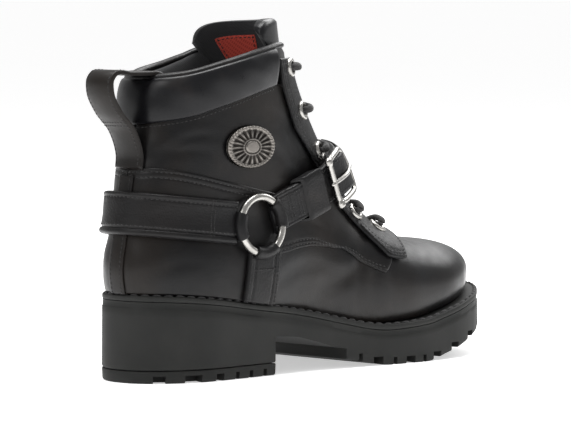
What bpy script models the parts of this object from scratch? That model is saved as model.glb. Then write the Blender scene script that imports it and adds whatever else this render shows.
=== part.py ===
"""Right harness boot as separate solids.

Metres, +Z up. The toe points along +X and the outer side of the foot is -Y.
The origin is the middle of the heel's bottom face, on the floor.
"""
import math

import bmesh
import bpy
import numpy as np
from mathutils import Matrix, Vector

MM = 0.001
GAP = 0.3 * MM
LIE = 0.7 * MM
STAY_LIE = 1.0 * MM
FEATHER_GAP = 0.6 * MM

# Sole and last
SOLE_LENGTH = 276 * MM
BALL_WIDTH = 98 * MM
HEEL_LENGTH = 84 * MM
SEAT_HEIGHT = 46.5 * MM
LIFT_THICKNESS = 6.5 * MM
WELT_THICKNESS = 3 * MM
WELT_OVERHANG = 3.6 * MM
WELT_REACH = 9 * MM
GROOVE_DEPTH = 0.9 * MM
HEEL_SHELF = 18 * MM
INSOLE_THICKNESS = 3.5 * MM
HEEL_BACK = -0.5 * HEEL_LENGTH

# Tread: the notches cut in the sole's edge
NOTCH_WIDTH = 8 * MM
NOTCH_HEIGHT = 4 * MM
NOTCH_DEPTH = 9 * MM

# Upper
BOOT_HEIGHT = 176 * MM
ANKLE_WIDTH = 68 * MM
TOE_HEIGHT = 65.5 * MM
WALL = 2.4 * MM
STEP = 1.2 * MM
BLEND = 13 * MM
THROAT_WIDTH = 48 * MM
EYESTAY_WIDTH = 16.5 * MM
EYESTAY_FLARE = 0.5
EYESTAY_THICKNESS = 1.8 * MM
PAD_WIDTH = 24 * MM
PAD_SHARE = 0.80
PAD_THICKNESS = 4 * MM
TONGUE_SPREAD = ((-0.12, 0.5, 0.97), (54, 48, 24))
TONGUE_THICKNESS = 4.5 * MM
TONGUE_RISE = 15 * MM
TONGUE_LEAN = 2.5 * MM
TONGUE_CORNER = 11 * MM
BACK_STAY_TOP = 0.62
BACK_STAY_WIDTH = 10 * MM
BACK_STAY_THICKNESS = 0.9 * MM

# Harness
RING_OUTER = 34 * MM
RING_WIRE = 4.2 * MM
RING_HEIGHT = 81.5 * MM
RING_STATION = 27 * MM
RING_LIFT = 6.2 * MM
STRAP_THICKNESS = 3 * MM
STRAP_LIFT = STEP + BACK_STAY_THICKNESS + 3 * GAP
HEEL_STRAP_WIDTH = 23 * MM
HEEL_STRAP_REACH = math.radians(68)
HEEL_FOLD = (142, 208)
HEEL_STRAP_TILT = math.radians(6.8)
INSTEP_STRAP_WIDTH = 20.5 * MM
INSTEP_STRAP_REACH = math.radians(74)
INSTEP_FOLD = (-14, 62)
INSTEP_STRAP_TILT = math.radians(19.5)
STAY_TURNS = (36, 56)
FOOT_FOLD = (243, 312)
FOOT_STRAP_WIDTH = 23 * MM
FOOT_STRAP_THICKNESS = 2.4 * MM
FOOT_STRAP_AHEAD = 5 * MM
FOOT_STRAP_LEAN = 4 * MM
FOLD_LEATHER = 1.7 * MM
KEEPER_WIDTH = 11 * MM
KEEPER_REACH = 62 * MM
KEEPER_TURN = math.radians(-43)
BUCKLE_TURNS = (math.radians(-34), math.radians(-21))
KEEPER_LEATHER = 1.2 * MM
BUCKLE_ROUND = (0.3, 0.2)
BUCKLE_LENGTH = 29 * MM
BUCKLE_WIRE = 3.4 * MM
BUCKLE_PRONG = 2.4 * MM

# Trim
EYELET_OUTER = 10.4 * MM
EYELET_HOLE = 5.2 * MM
EYELET_HEIGHT = 1.0 * MM
EYELET_INSET = 6.5 * MM
LACE_WIDTH = 4.2 * MM
LACE_TUCK = 0.025
LACE_MIDDLE = 0.07
LOOP_WIDTH = 19 * MM
LOOP_THICKNESS = 2.2 * MM
LOOP_REACH = 31 * MM
LOOP_HEIGHT = 50 * MM
LOOP_BOW = 24 * MM
CONCHO_LENGTH = 34 * MM
CONCHO_HEIGHT = 23 * MM
CONCHO_THICKNESS = 2.6 * MM
CONCHO_STATION = 24 * MM
CONCHO_RISE = 123 * MM

PLAN_POWER = 2.3
HEEL_ROUND = 0.17
TOE_ROUND = 0.18

# Sole plan: share of SOLE_LENGTH, outer and inner half width as shares of BALL_WIDTH
SOLE_PLAN = (
    (0.00, 0.306, 0.306),
    (0.06, 0.327, 0.327),
    (0.14, 0.352, 0.347),
    (0.24, 0.362, 0.342),
    (0.34, 0.367, 0.321),
    (0.44, 0.388, 0.311),
    (0.54, 0.434, 0.357),
    (0.62, 0.480, 0.423),
    (0.70, 0.505, 0.474),
    (0.78, 0.500, 0.485),
    (0.86, 0.459, 0.459),
    (0.93, 0.378, 0.398),
    (1.00, 0.306, 0.327),
)

# Sole side: share of SOLE_LENGTH, welt top and tread bottom as shares of SEAT_HEIGHT
SOLE_SIDE = (
    (0.00, 1.000, 0.000),
    (0.07, 0.980, 0.000),
    (0.16, 0.923, 0.000),
    (0.24, 0.850, 0.000),
    (0.34, 0.765, 0.000),
    (0.41, 0.690, 0.060),
    (0.49, 0.585, 0.108),
    (0.56, 0.500, 0.030),
    (0.60, 0.478, 0.000),
    (0.70, 0.508, 0.000),
    (0.76, 0.575, 0.072),
    (0.81, 0.640, 0.150),
    (0.87, 0.720, 0.260),
    (1.00, 0.800, 0.400),
)

# Arch of the waist: share from the breast to the tread, height as a share of SEAT_HEIGHT
ARCH = ((0.0, 0.445), (0.3, 0.42), (0.6, 0.34), (0.85, 0.26), (1.0, 0.23))
TREAD_BACK = 0.493

# Edge notches: share of SOLE_LENGTH, width as a share of NOTCH_WIDTH
NOTCHES = (
    (0.036, 0.85),
    (0.0955, 1.25),
    (0.155, 0.66),
    (0.201, 0.32),
    (0.238, 0.32),
    (0.276, 0.32),
    (0.528, 0.32),
    (0.571, 0.80),
    (0.612, 0.32),
    (0.652, 0.80),
    (0.690, 0.32),
    (0.728, 0.80),
    (0.785, 0.80),
    (0.845, 0.80),
    (0.905, 0.80),
)

# Foot form: share of the last's length, top height as a share of TOE_HEIGHT
FOOT_TOP = (
    (0.00, 1.25),
    (0.35, 1.36),
    (0.50, 1.35),
    (0.58, 1.27),
    (0.66, 1.15),
    (0.74, 1.06),
    (0.80, 1.02),
    (0.90, 1.00),
    (1.00, 0.98),
)
FOOT_POWER = 2.3
FOOT_WIDEST = 0.30
FOOT_UNDERCUT = 2.3
FOOT_TOE_ROUND = 0.20

# Leg form: share of BOOT_HEIGHT, back and front as shares of SOLE_LENGTH from the
# heel's back, half width as a share of ANKLE_WIDTH
LEG = (
    (0.17, 0.026, 0.42, 0.455),
    (0.27, 0.022, 0.56, 0.465),
    (0.35, 0.015, 0.635, 0.480),
    (0.43, 0.015, 0.640, 0.490),
    (0.50, 0.020, 0.610, 0.495),
    (0.60, 0.030, 0.567, 0.500),
    (0.70, 0.043, 0.518, 0.500),
    (0.81, 0.058, 0.474, 0.495),
    (0.92, 0.069, 0.440, 0.490),
    (1.10, 0.074, 0.415, 0.490),
)
LEG_POWER = 2.1

# Topline: share of the way from the back to the throat, outer and inner height as
# shares of BOOT_HEIGHT
TOPLINE = (
    (0.00, 0.905, 0.905),
    (0.18, 0.918, 0.905),
    (0.38, 0.948, 0.922),
    (0.58, 0.972, 0.938),
    (0.76, 0.990, 0.960),
    (0.90, 1.000, 0.982),
    (1.00, 0.975, 0.965),
)

# Throat: share down the throat, half gap as a share of THROAT_WIDTH
THROAT = (
    (0.0, 0.50),
    (0.30, 0.47),
    (0.55, 0.40),
    (0.75, 0.36),
    (0.88, 0.32),
    (0.95, 0.24),
    (1.0, 0.0),
)

# Seam row: share around one side, height above the feather as a share of the wall's run
SEAM = (
    (0.00, 0.58),
    (0.06, 0.56),
    (0.12, 0.50),
    (0.17, 0.43),
    (0.21, 0.32),
    (0.26, 0.35),
    (0.34, 0.50),
    (0.42, 0.70),
    (0.50, 0.86),
)

# Pull loop: height from the topline as a share of LOOP_HEIGHT, distance behind the
# wall as a share of LOOP_REACH; -1 is on the wall's inner side
PULL_LOOP = (
    (-0.94, 0.00),
    (-0.80, 0.03),
    (-0.66, 0.14),
    (-0.53, 0.30),
    (-0.32, 0.70),
    (-0.11, 0.95),
    (0.01, 0.97),
    (0.080, 0.86),
    (0.090, 0.72),
    (0.070, 0.50),
    (0.065, 0.25),
    (0.065, 0.00),
    (0.065, -0.60),
    (0.035, -1.15),
    (-0.04, -1.25),
    (-0.20, -1.10),
    (-0.38, -1.05),
)

# Eyelets: share down the throat, the lace's clearance there over the tongue in GAPs;
# the fourth pair lies under the strap
EYELETS = ((0.065, 5), (0.26, 5), (0.43, 4), (0.565, 1.5), (0.70, 4), (0.825, 4))
UNDER_STRAP = 3

COLLAR_SHARE = 0.26
FIELD_STEP = 0.2 * MM
FAR = 150 * MM
OUTER = -1.0
INNER = 1.0

PARTS = "harness_boot"
CUTTERS = "harness_boot_cutters"

# Finish: base colour, metallic, roughness
FINISHES = {
    "leather": ((0.022, 0.021, 0.021), 0.0, 0.42),
    "lining": ((0.03, 0.03, 0.03), 0.0, 0.85),
    "rubber": ((0.035, 0.035, 0.036), 0.0, 0.62),
    "nickel": ((0.62, 0.60, 0.56), 1.0, 0.25),
    "lace": ((0.015, 0.015, 0.016), 0.0, 0.8),
}


def smooth(rows, column):
    """Give a function through one column of a table that never overshoots its rows."""
    share = np.array([row[0] for row in rows])
    value = np.array([row[column] for row in rows])
    run = np.diff(share)
    rise = np.diff(value) / run
    slope = np.zeros(len(share))
    slope[0] = rise[0]
    slope[-1] = rise[-1]
    same = rise[:-1] * rise[1:] > 0
    before = rise[:-1][same]
    after = rise[1:][same]
    slope[1:-1][same] = 2 * before * after / (before + after)

    def at(where):
        where = np.clip(np.asarray(where, float), share[0], share[-1])
        i = np.clip(np.searchsorted(share, where, side="right") - 1, 0, len(run) - 1)
        t = (where - share[i]) / run[i]
        start = (1 + 2 * t) * (1 - t) ** 2 * value[i]
        end = t * t * (3 - 2 * t) * value[i + 1]
        leave = t * (1 - t) ** 2 * run[i] * slope[i]
        arrive = t * t * (t - 1) * run[i] * slope[i + 1]
        return start + end + leave + arrive

    return at


plan_outer = smooth(SOLE_PLAN, 1)
plan_inner = smooth(SOLE_PLAN, 2)
side_top = smooth(SOLE_SIDE, 1)
side_bottom = smooth(SOLE_SIDE, 2)
foot_top = smooth(FOOT_TOP, 1)
leg_back = smooth(LEG, 1)
leg_front = smooth(LEG, 2)
leg_half = smooth(LEG, 3)
top_outer = smooth(TOPLINE, 1)
top_inner = smooth(TOPLINE, 2)
throat_half = smooth(THROAT, 1)
seam_share = smooth(SEAM, 1)
arch_height = smooth(ARCH, 1)


def station(x):
    """Share of the sole's length at x."""
    return (np.asarray(x) - HEEL_BACK) / SOLE_LENGTH


def welt_top(x):
    return SEAT_HEIGHT * side_top(station(x))


def tread_bottom(x):
    return SEAT_HEIGHT * side_bottom(station(x))


def ends(share, heel_round, toe_round):
    """How far a share is into the rounded heel or toe, as a power term."""
    heel = np.clip((heel_round - share) / heel_round, 0, 1)
    toe = np.clip((share - 1 + toe_round) / toe_round, 0, 1)
    return heel ** PLAN_POWER + toe ** PLAN_POWER


def plan_half(share, side):
    """Half width of the sole before its ends are rounded."""
    width = plan_outer(share) if side < 0 else plan_inner(share)
    return width * BALL_WIDTH


def plan_ring(count, inset):
    """Outline of the sole: heel point, outer side, toe point, inner side."""
    turn = np.linspace(0, math.pi, count + 1)
    share = (1 - np.cos(turn)) / 2
    round_off = np.clip(1 - ends(share, HEEL_ROUND, TOE_ROUND), 0, 1) ** (1 / PLAN_POWER)
    x = HEEL_BACK + share * SOLE_LENGTH
    outer = np.stack([x, -plan_half(share, OUTER) * round_off], 1)
    inner = np.stack([x, plan_half(share, INNER) * round_off], 1)
    ring = np.concatenate([outer, inner[-2:0:-1]])
    along = np.roll(ring, -1, 0) - np.roll(ring, 1, 0)
    along /= np.linalg.norm(along, axis=1)[:, None]
    outward = np.stack([along[:, 1], -along[:, 0]], 1)
    return ring - inset * outward


def foot_norm(x, y, z):
    """Under 1 inside the foot form: a long rounded body with a blunt toe."""
    last_back = HEEL_BACK + WELT_OVERHANG
    last_length = SOLE_LENGTH - 2 * WELT_OVERHANG
    share = np.clip((x - last_back) / last_length, 0, 1)
    half = np.where(y < 0, plan_outer(share), plan_inner(share)) * BALL_WIDTH - WELT_OVERHANG
    floor = welt_top(x)
    top = TOE_HEIGHT * foot_top(share)
    middle = floor + FOOT_WIDEST * (top - floor)
    above = (z - middle) / (top - middle)
    below = (middle - z) / ((middle - floor) * FOOT_UNDERCUT)
    high = np.where(z > middle, above, below)
    heel = np.clip((HEEL_ROUND - (x - last_back) / last_length) / HEEL_ROUND, 0, None)
    toe = np.clip(((x - last_back) / last_length - 1 + FOOT_TOE_ROUND) / FOOT_TOE_ROUND, 0, None)
    total = np.abs(y / half) ** FOOT_POWER + high ** FOOT_POWER
    total = total + heel ** FOOT_POWER + toe ** FOOT_POWER
    return total ** (1 / FOOT_POWER)


def leg_norm(x, y, z):
    """Under 1 inside the leg form: level sections that lean and taper with height."""
    share = z / BOOT_HEIGHT
    back = HEEL_BACK + SOLE_LENGTH * leg_back(share)
    front = HEEL_BACK + SOLE_LENGTH * leg_front(share)
    middle = (back + front) / 2
    reach = (front - back) / 2
    half = ANKLE_WIDTH * leg_half(share)
    total = np.abs((x - middle) / reach) ** LEG_POWER + np.abs(y / half) ** LEG_POWER
    return total ** (1 / LEG_POWER)


def true_length(norm, points):
    """Turn a form's norm into an approximate distance from its surface."""
    x, y, z = points[..., 0], points[..., 1], points[..., 2]
    h = FIELD_STEP
    dx = norm(x + h, y, z) - norm(x - h, y, z)
    dy = norm(x, y + h, z) - norm(x, y - h, z)
    dz = norm(x, y, z + h) - norm(x, y, z - h)
    steep = np.sqrt(dx ** 2 + dy ** 2 + dz ** 2) / (2 * h)
    return (norm(x, y, z) - 1) / np.maximum(steep, 1)


def distance(points):
    """Distance outside the upper's outer surface: foot and leg blended together."""
    foot = true_length(foot_norm, points)
    leg = true_length(leg_norm, points)
    mix = np.clip(0.5 + 0.5 * (leg - foot) / BLEND, 0, 1)
    return leg * (1 - mix) + foot * mix - BLEND * mix * (1 - mix)


def normals(points):
    """Unit directions straight out of the form at each point."""
    h = FIELD_STEP
    slope = []
    for axis in np.eye(3):
        slope.append(distance(points + h * axis) - distance(points - h * axis))
    slope = np.stack(slope, -1)
    return slope / np.linalg.norm(slope, axis=-1, keepdims=True)


def cast(origin, direction, level):
    """First point of each ray, from inside, that lies `level` out from the form."""
    origin, direction = np.broadcast_arrays(np.asarray(origin, float), np.asarray(direction, float))
    direction = direction / np.linalg.norm(direction, axis=-1, keepdims=True)
    near = np.zeros(origin.shape[:-1])
    far = np.full(origin.shape[:-1], FAR)
    for _ in range(26):
        middle = (near + far) / 2
        inside = distance(origin + middle[..., None] * direction) < level
        near = np.where(inside, middle, near)
        far = np.where(inside, far, middle)
    return origin + near[..., None] * direction


# Rays: where the upper's wall is looked for
LEG_AXIS = HEEL_BACK + 0.245 * SOLE_LENGTH
THROAT_TOP = (HEEL_BACK + 0.26 * SOLE_LENGTH, 0.975 * BOOT_HEIGHT)
THROAT_LOW = (HEEL_BACK + 0.70 * SOLE_LENGTH, 0.25 * BOOT_HEIGHT)
THROAT_LEAN = (math.radians(0), math.radians(78))
COLLAR_SWEEP = math.radians(150)


def throat_ray(t):
    """Start and direction, in the middle plane, of the ray that meets the throat."""
    t = np.asarray(t, float)
    x = THROAT_TOP[0] + t * (THROAT_LOW[0] - THROAT_TOP[0])
    z = THROAT_TOP[1] + t * (THROAT_LOW[1] - THROAT_TOP[1])
    lean = THROAT_LEAN[0] + np.clip(t, 0, 1) ** 1.3 * (THROAT_LEAN[1] - THROAT_LEAN[0])
    origin = np.stack([x, 0 * x, z], -1)
    direction = np.stack([np.cos(lean), 0 * x, np.sin(lean)], -1)
    return origin, direction


def collar_ray(share, side):
    """Start and direction of the ray that meets the topline at a share around."""
    share = np.asarray(share, float)
    turn = share * COLLAR_SWEEP
    height = (top_outer(share) if side < 0 else top_inner(share)) * BOOT_HEIGHT
    origin = np.stack([LEG_AXIS + 0 * share, 0 * share, height], -1)
    direction = np.stack([-np.cos(turn), side * np.sin(turn), 0 * share], -1)
    return origin, direction


def top_edge(u, side):
    """Ray starts and wall points along the topline and down the throat."""
    collar_from, collar_to = collar_ray(np.clip(u / COLLAR_SHARE, 0, 1), side)
    t = np.clip((u - COLLAR_SHARE) / (0.5 - COLLAR_SHARE), 0, 1)
    throat_from, throat_to = throat_ray(t)
    gap = side * THROAT_WIDTH * throat_half(t)
    shifted = throat_from + np.stack([0 * gap, gap, 0 * gap], -1)
    collar_point = cast(collar_from, collar_to, 0.0)
    throat_point = cast(shifted, throat_to, 0.0)
    on_collar = (u <= COLLAR_SHARE)[:, None]
    start = np.where(on_collar, collar_from, throat_from)
    point = np.where(on_collar, collar_point, throat_point)
    return start, point


def feather_edge(u, side):
    """Ray starts and wall points along the feather line, where the upper meets the welt."""
    share = (1 - np.cos(2 * math.pi * u)) / 2
    toe_round = np.clip(1 - ends(share, HEEL_ROUND, TOE_ROUND), 0, 1) ** (1 / PLAN_POWER)
    x = HEEL_BACK + WELT_OVERHANG + share * (SOLE_LENGTH - 2 * WELT_OVERHANG)
    y = side * (plan_half(share, side) - WELT_OVERHANG) * toe_round
    start_x = HEEL_BACK + (0.12 + 0.63 * share) * SOLE_LENGTH
    z = welt_top(x) + FEATHER_GAP
    for _ in range(3):
        start = np.stack([start_x, 0 * x, z], -1)
        aim = np.stack([x - start_x, y, 0 * x], -1)
        point = cast(start, aim, 0.0)
        z = welt_top(point[..., 0]) + FEATHER_GAP
    return start, point


def wall_rays(u, side):
    """Both ends of the wall's columns at each share around one side."""
    top_start, top_point = top_edge(u, side)
    low_start, low_point = feather_edge(u, side)
    return low_start, low_point, top_start, top_point


def wall(u, v, side, level):
    """Wall points: u around one side from the heel, v up from the feather line."""
    low_start, low_point, top_start, top_point = wall_rays(u, side)
    v = v[..., None]
    start = low_start[:, None] * (1 - v) + top_start[:, None] * v
    aim = low_point[:, None] * (1 - v) + top_point[:, None] * v
    points = cast(start, aim - start, level)
    points[..., 2] = np.maximum(points[..., 2], welt_top(points[..., 0]) + FEATHER_GAP)
    return points


def both_sides(make, count):
    """Join the outer and inner sides into one closed run around the boot."""
    u = np.linspace(0, 0.5, count + 1)
    outer = make(u, OUTER)
    inner = make(u, INNER)
    return np.concatenate([outer, inner[-2:0:-1]])


def grid_faces(rows, columns, around):
    """Quads of a grid of points, closed around its rows if asked."""
    faces = []
    for i in range(rows if around else rows - 1):
        k = (i + 1) % rows
        for j in range(columns - 1):
            faces.append((i * columns + j, k * columns + j, k * columns + j + 1, i * columns + j + 1))
    return faces


def add_object(name, points, faces, finish):
    """Make one mesh object whose faces point out."""
    mesh = bpy.data.meshes.new(name)
    mesh.from_pydata([tuple(point) for point in points], [], faces)
    work = bmesh.new()
    work.from_mesh(mesh)
    bmesh.ops.recalc_face_normals(work, faces=work.faces)
    work.to_mesh(mesh)
    work.free()
    return place(name, mesh, finish)


def place(name, mesh, finish):
    """Put a mesh in the scene as a named object with its own material."""
    obj = bpy.data.objects.new(name, mesh)
    bpy.data.collections[PARTS].objects.link(obj)
    obj.data.materials.clear()
    obj.data.materials.append(make_material(name, finish))
    obj.data.shade_smooth()
    return obj


def make_material(name, finish):
    colour, metallic, roughness = FINISHES[finish]
    material = bpy.data.materials.new(name + "_finish")
    material.use_nodes = True
    shader = material.node_tree.nodes["Principled BSDF"]
    shader.inputs["Base Color"].default_value = (*colour, 1)
    shader.inputs["Metallic"].default_value = metallic
    shader.inputs["Roughness"].default_value = roughness
    return material


def as_cutter(obj):
    """Hide a solid that only cuts or joins others."""
    for collection in obj.users_collection:
        collection.objects.unlink(obj)
    bpy.data.collections[CUTTERS].objects.link(obj)
    obj.hide_render = True
    obj.display_type = "WIRE"
    return obj


def combine(obj, tool, operation):
    """Add a Boolean modifier between an object and a hidden tool."""
    modifier = obj.modifiers.new(operation.lower(), "BOOLEAN")
    modifier.operation = operation
    modifier.object = as_cutter(tool)
    return obj


def ring_solid(name, rings, finish):
    """Close a stack of plan rings with strips across its bottom and top."""
    count = len(rings[0])
    points = np.concatenate(rings)
    faces = []
    for level in range(len(rings) - 1):
        for i in range(count):
            k = (i + 1) % count
            low = level * count
            faces.append((low + i, low + k, low + count + k, low + count + i))
    half = count // 2
    for base in (0, (len(rings) - 1) * count):
        for i in range(half):
            strip = [i, i + 1, count - i - 1, (count - i) % count]
            faces.append(tuple(base + k for k in dict.fromkeys(strip)))
    return add_object(name, points, faces, finish)


def box_tool(name, size, matrix):
    """A box used as a cutter, with its size along its own axes."""
    bpy.ops.mesh.primitive_cube_add(size=1)
    obj = bpy.context.object
    obj.name = name
    obj.data.transform(Matrix.Diagonal((*size, 1)))
    obj.matrix_world = matrix
    return obj


def prism_tool(name, outline, half_width):
    """A cutter across the boot from an outline of (x, z) points."""
    mesh = bpy.data.meshes.new(name)
    work = bmesh.new()
    corners = [work.verts.new((x, -half_width, z)) for x, z in outline]
    face = work.faces.new(corners)
    swept = bmesh.ops.extrude_face_region(work, geom=[face])
    moved = [part for part in swept["geom"] if isinstance(part, bmesh.types.BMVert)]
    bmesh.ops.translate(work, verts=moved, vec=(0, 2 * half_width, 0))
    bmesh.ops.recalc_face_normals(work, faces=work.faces)
    work.to_mesh(mesh)
    work.free()
    return place(name, mesh, "rubber")


def at_height(ring, height):
    """Lift a plan ring to the heights that a function gives along x."""
    return np.column_stack([ring, height(ring[:, 0])])


def notch_tool(name, share, width, side, bottom):
    """A box that cuts one notch into the lower edge of the sole's side."""
    step = 0.004
    shares = np.array([share - step, share, share + step])
    round_off = np.clip(1 - ends(shares, HEEL_ROUND, TOE_ROUND), 0, 1) ** (1 / PLAN_POWER)
    x = HEEL_BACK + shares * SOLE_LENGTH
    y = side * plan_half(shares, side) * round_off
    along = Vector((x[2] - x[0], y[2] - y[0], 0)).normalized()
    inward = Vector((-side * along.y, side * along.x, 0)) * -1
    up = Vector((0, 0, 1))
    middle = Vector((x[1], y[1], bottom(x[1])))
    turn = Matrix((along, inward, up)).transposed().to_4x4()
    size = (width, 2 * NOTCH_DEPTH, 2 * NOTCH_HEIGHT)
    return box_tool(name, size, Matrix.Translation(middle) @ turn)


def cut_notches(obj, first, last, bottom):
    """Cut the edge notches whose stations lie between two shares, on both sides."""
    for share, width in NOTCHES:
        if not first < share < last:
            continue
        for side in (OUTER, INNER):
            label = f"{obj.name}_notch_{share:.3f}_{'outer' if side < 0 else 'inner'}"
            combine(obj, notch_tool(label, share, width * NOTCH_WIDTH, side, bottom), "DIFFERENCE")


def make_sole():
    """Outsole with its heel block, the heel lift below it and the welt above it."""
    count = 27
    breast = HEEL_BACK + HEEL_LENGTH
    tread = HEEL_BACK + TREAD_BACK * SOLE_LENGTH

    def sole_top(x):
        return welt_top(x) - WELT_THICKNESS - GAP

    def sole_low(x):
        heel = LIFT_THICKNESS + GAP
        return np.where(x < breast + HEEL_SHELF, heel, tread_bottom(x))

    def ledge(x):
        return sole_top(x) - WELT_THICKNESS

    rings = [
        at_height(plan_ring(count, 1.0 * MM), sole_low),
        at_height(plan_ring(count, 0), lambda x: sole_low(x) + 1.2 * MM),
        at_height(plan_ring(count, 0.2 * MM), lambda x: ledge(x) - GROOVE_DEPTH),
        at_height(plan_ring(count, 0.2 * MM + GROOVE_DEPTH), ledge),
        at_height(plan_ring(count, 0.2 * MM + GROOVE_DEPTH), sole_top),
    ]
    sole = ring_solid("outsole", rings, "rubber")
    arch = [(breast, -SEAT_HEIGHT)]
    for share in (0, 0.2, 0.4, 0.6, 0.8, 1):
        arch.append((breast + share * (tread - breast), SEAT_HEIGHT * float(arch_height(share))))
    arch.append((tread, -SEAT_HEIGHT))
    combine(sole, prism_tool("waist_cutter", arch, BALL_WIDTH), "DIFFERENCE")
    cut_notches(sole, TREAD_BACK, 1, tread_bottom)

    lift_rings = [
        at_height(plan_ring(count, 1.4 * MM), lambda x: 0 * x),
        at_height(plan_ring(count, 0.3 * MM), lambda x: 0 * x + 1.2 * MM),
        at_height(plan_ring(count, 0), lambda x: 0 * x + LIFT_THICKNESS),
    ]
    lift = ring_solid("heel_lift", lift_rings, "rubber")
    front = box_tool("lift_cutter", (SOLE_LENGTH, 2 * BALL_WIDTH, SEAT_HEIGHT),
                     Matrix.Translation((breast + SOLE_LENGTH / 2, 0, 0)))
    combine(lift, front, "DIFFERENCE")
    cut_notches(lift, 0, HEEL_LENGTH / SOLE_LENGTH, lambda x: 0.0)

    outside = plan_ring(count, 0.3 * MM)
    inside = plan_ring(count, WELT_OVERHANG + WELT_REACH)
    low = lambda x: welt_top(x) - WELT_THICKNESS
    points = np.stack([at_height(outside, low), at_height(outside, welt_top),
                       at_height(inside, welt_top), at_height(inside, low)], 1)
    faces = closed_tube_faces(len(outside), 4)
    add_object("welt", points.reshape(-1, 3), faces, "rubber")


def closed_tube_faces(rows, columns):
    """Quads of a grid that closes on itself both ways."""
    faces = []
    for i in range(rows):
        k = (i + 1) % rows
        for j in range(columns):
            n = (j + 1) % columns
            faces.append((i * columns + j, k * columns + j, k * columns + n, i * columns + n))
    return faces


UPPER_SIDE_COUNT = 23
SEAM_ROWS = (5, 7)
SEAM_RAMP = 0.012


def seam_rows(u):
    """Shares up the wall at each station, with two close rows at the seam's step."""
    seam = seam_share(u)[:, None]
    low = np.linspace(0, 1, SEAM_ROWS[0])[None]
    high = np.linspace(0, 1, SEAM_ROWS[1])[None]
    below = seam * low
    above = seam + SEAM_RAMP + (1 - seam - SEAM_RAMP) * high
    return np.concatenate([below, above], 1)


def seam_step(u):
    """Raised counter at the heel, lowered vamp at the forefoot, below the seam row."""
    forward = np.clip((u - 0.19) / 0.05, 0, 1)
    level = STEP * (1 - forward) - STEP * forward
    low = np.repeat(level[:, None], SEAM_ROWS[0], 1)
    high = np.zeros((len(u), SEAM_ROWS[1]))
    return np.concatenate([low, high], 1)


def make_upper():
    """One hollow wall on the last, open at collar, throat and underneath."""
    def outside(u, side):
        return wall(u, seam_rows(u), side, seam_step(u))

    def inside(u, side):
        return wall(u, seam_rows(u), side, -WALL)

    outer = both_sides(outside, UPPER_SIDE_COUNT)
    inner = both_sides(inside, UPPER_SIDE_COUNT)
    loop = np.concatenate([outer, inner[:, ::-1]], 1)
    faces = closed_tube_faces(len(loop), loop.shape[1])
    add_object("upper", loop.reshape(-1, 3), faces, "leather")


def make_insole():
    """Footbed inside the upper, resting on the welt's reach."""
    count = 20
    def edge(u, side):
        start, point = feather_edge(u, side)
        return cast(start, point - start, -WALL - 3 * GAP)[:, :2]

    ring = both_sides(edge, count)
    low = at_height(ring, lambda x: welt_top(x) + GAP)
    high = at_height(ring, lambda x: welt_top(x) + GAP + INSOLE_THICKNESS)
    ring_solid("insole", [low, high], "lining")


def slab(name, low, high, finish):
    """Close a grid of points and the grid above it into one thin solid."""
    rows, columns = low.shape[:2]
    count = rows * columns
    faces = grid_faces(rows, columns, False)
    faces += [tuple(count + k for k in face) for face in grid_faces(rows, columns, False)]
    edge = [i * columns for i in range(rows)]
    edge += [(rows - 1) * columns + j for j in range(1, columns)]
    edge += [i * columns + columns - 1 for i in range(rows - 2, -1, -1)]
    edge += [j for j in range(columns - 2, 0, -1)]
    for a, b in zip(edge, edge[1:] + edge[:1]):
        faces.append((a, b, count + b, count + a))
    points = np.concatenate([low.reshape(-1, 3), high.reshape(-1, 3)])
    return add_object(name, points, faces, finish)


def rounded(rows, columns, lift, thickness, edge=0.35):
    """Heights of a slab's upper face, lower around its border."""
    share = np.full((rows, columns), edge)
    share[1:-1, 1:-1] = 1
    return lift + thickness * share


def eased(count):
    """Shares from 0 to 1 with a first and last step that is short."""
    inner = np.linspace(0.05, 0.95, count - 2)
    return np.concatenate([[0], inner, [1]])


def throat_fan(t, angle):
    """Ray starts and directions that turn from the middle plane towards a side."""
    origin, ahead = throat_ray(np.broadcast_to(t, angle.shape))
    sideways = np.array([0, 1.0, 0])
    direction = ahead * np.cos(angle)[..., None] + sideways * np.sin(angle)[..., None]
    return origin, direction


def across_throat(t, reach, side):
    """Fan angles whose rays meet the form at given runs from the throat's edge."""
    sweep = np.radians(np.linspace(0, 100, 101))
    grid = np.broadcast_to(side * sweep, (len(t), len(sweep)))
    points = cast(*throat_fan(t[:, None], grid), 0.0)
    steps = np.linalg.norm(np.diff(points, axis=1), axis=-1)
    run = np.concatenate([np.zeros((len(t), 1)), np.cumsum(steps, 1)], 1)
    reach = np.broadcast_to(reach, (len(t), np.shape(reach)[-1]))
    angle = np.zeros(reach.shape)
    for i, share in enumerate(t):
        gap = THROAT_WIDTH * float(throat_half(share))
        start = np.interp(gap, np.abs(points[i, :, 1]), run[i])
        angle[i] = np.interp(start + reach[i], run[i], sweep)
    return side * angle


def make_eyestays():
    """Lace stays along both edges of the throat."""
    t = 0.02 + 0.95 * eased(16)
    for side, label in ((OUTER, "outer"), (INNER, "inner")):
        width = EYESTAY_WIDTH * (1 + EYESTAY_FLARE * t)
        reach = 2 * GAP + width[:, None] * eased(5)
        angle = across_throat(t, reach, side)
        height = rounded(*reach.shape, STAY_LIE, EYESTAY_THICKNESS)
        low = cast(*throat_fan(t[:, None], angle), STAY_LIE)
        high = cast(*throat_fan(t[:, None], angle), height)
        slab(f"eyestay_{label}", low, high, "leather")


def tongue_level():
    """Height of the tongue's outer face, under the wall."""
    return -WALL - 4 * GAP


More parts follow.
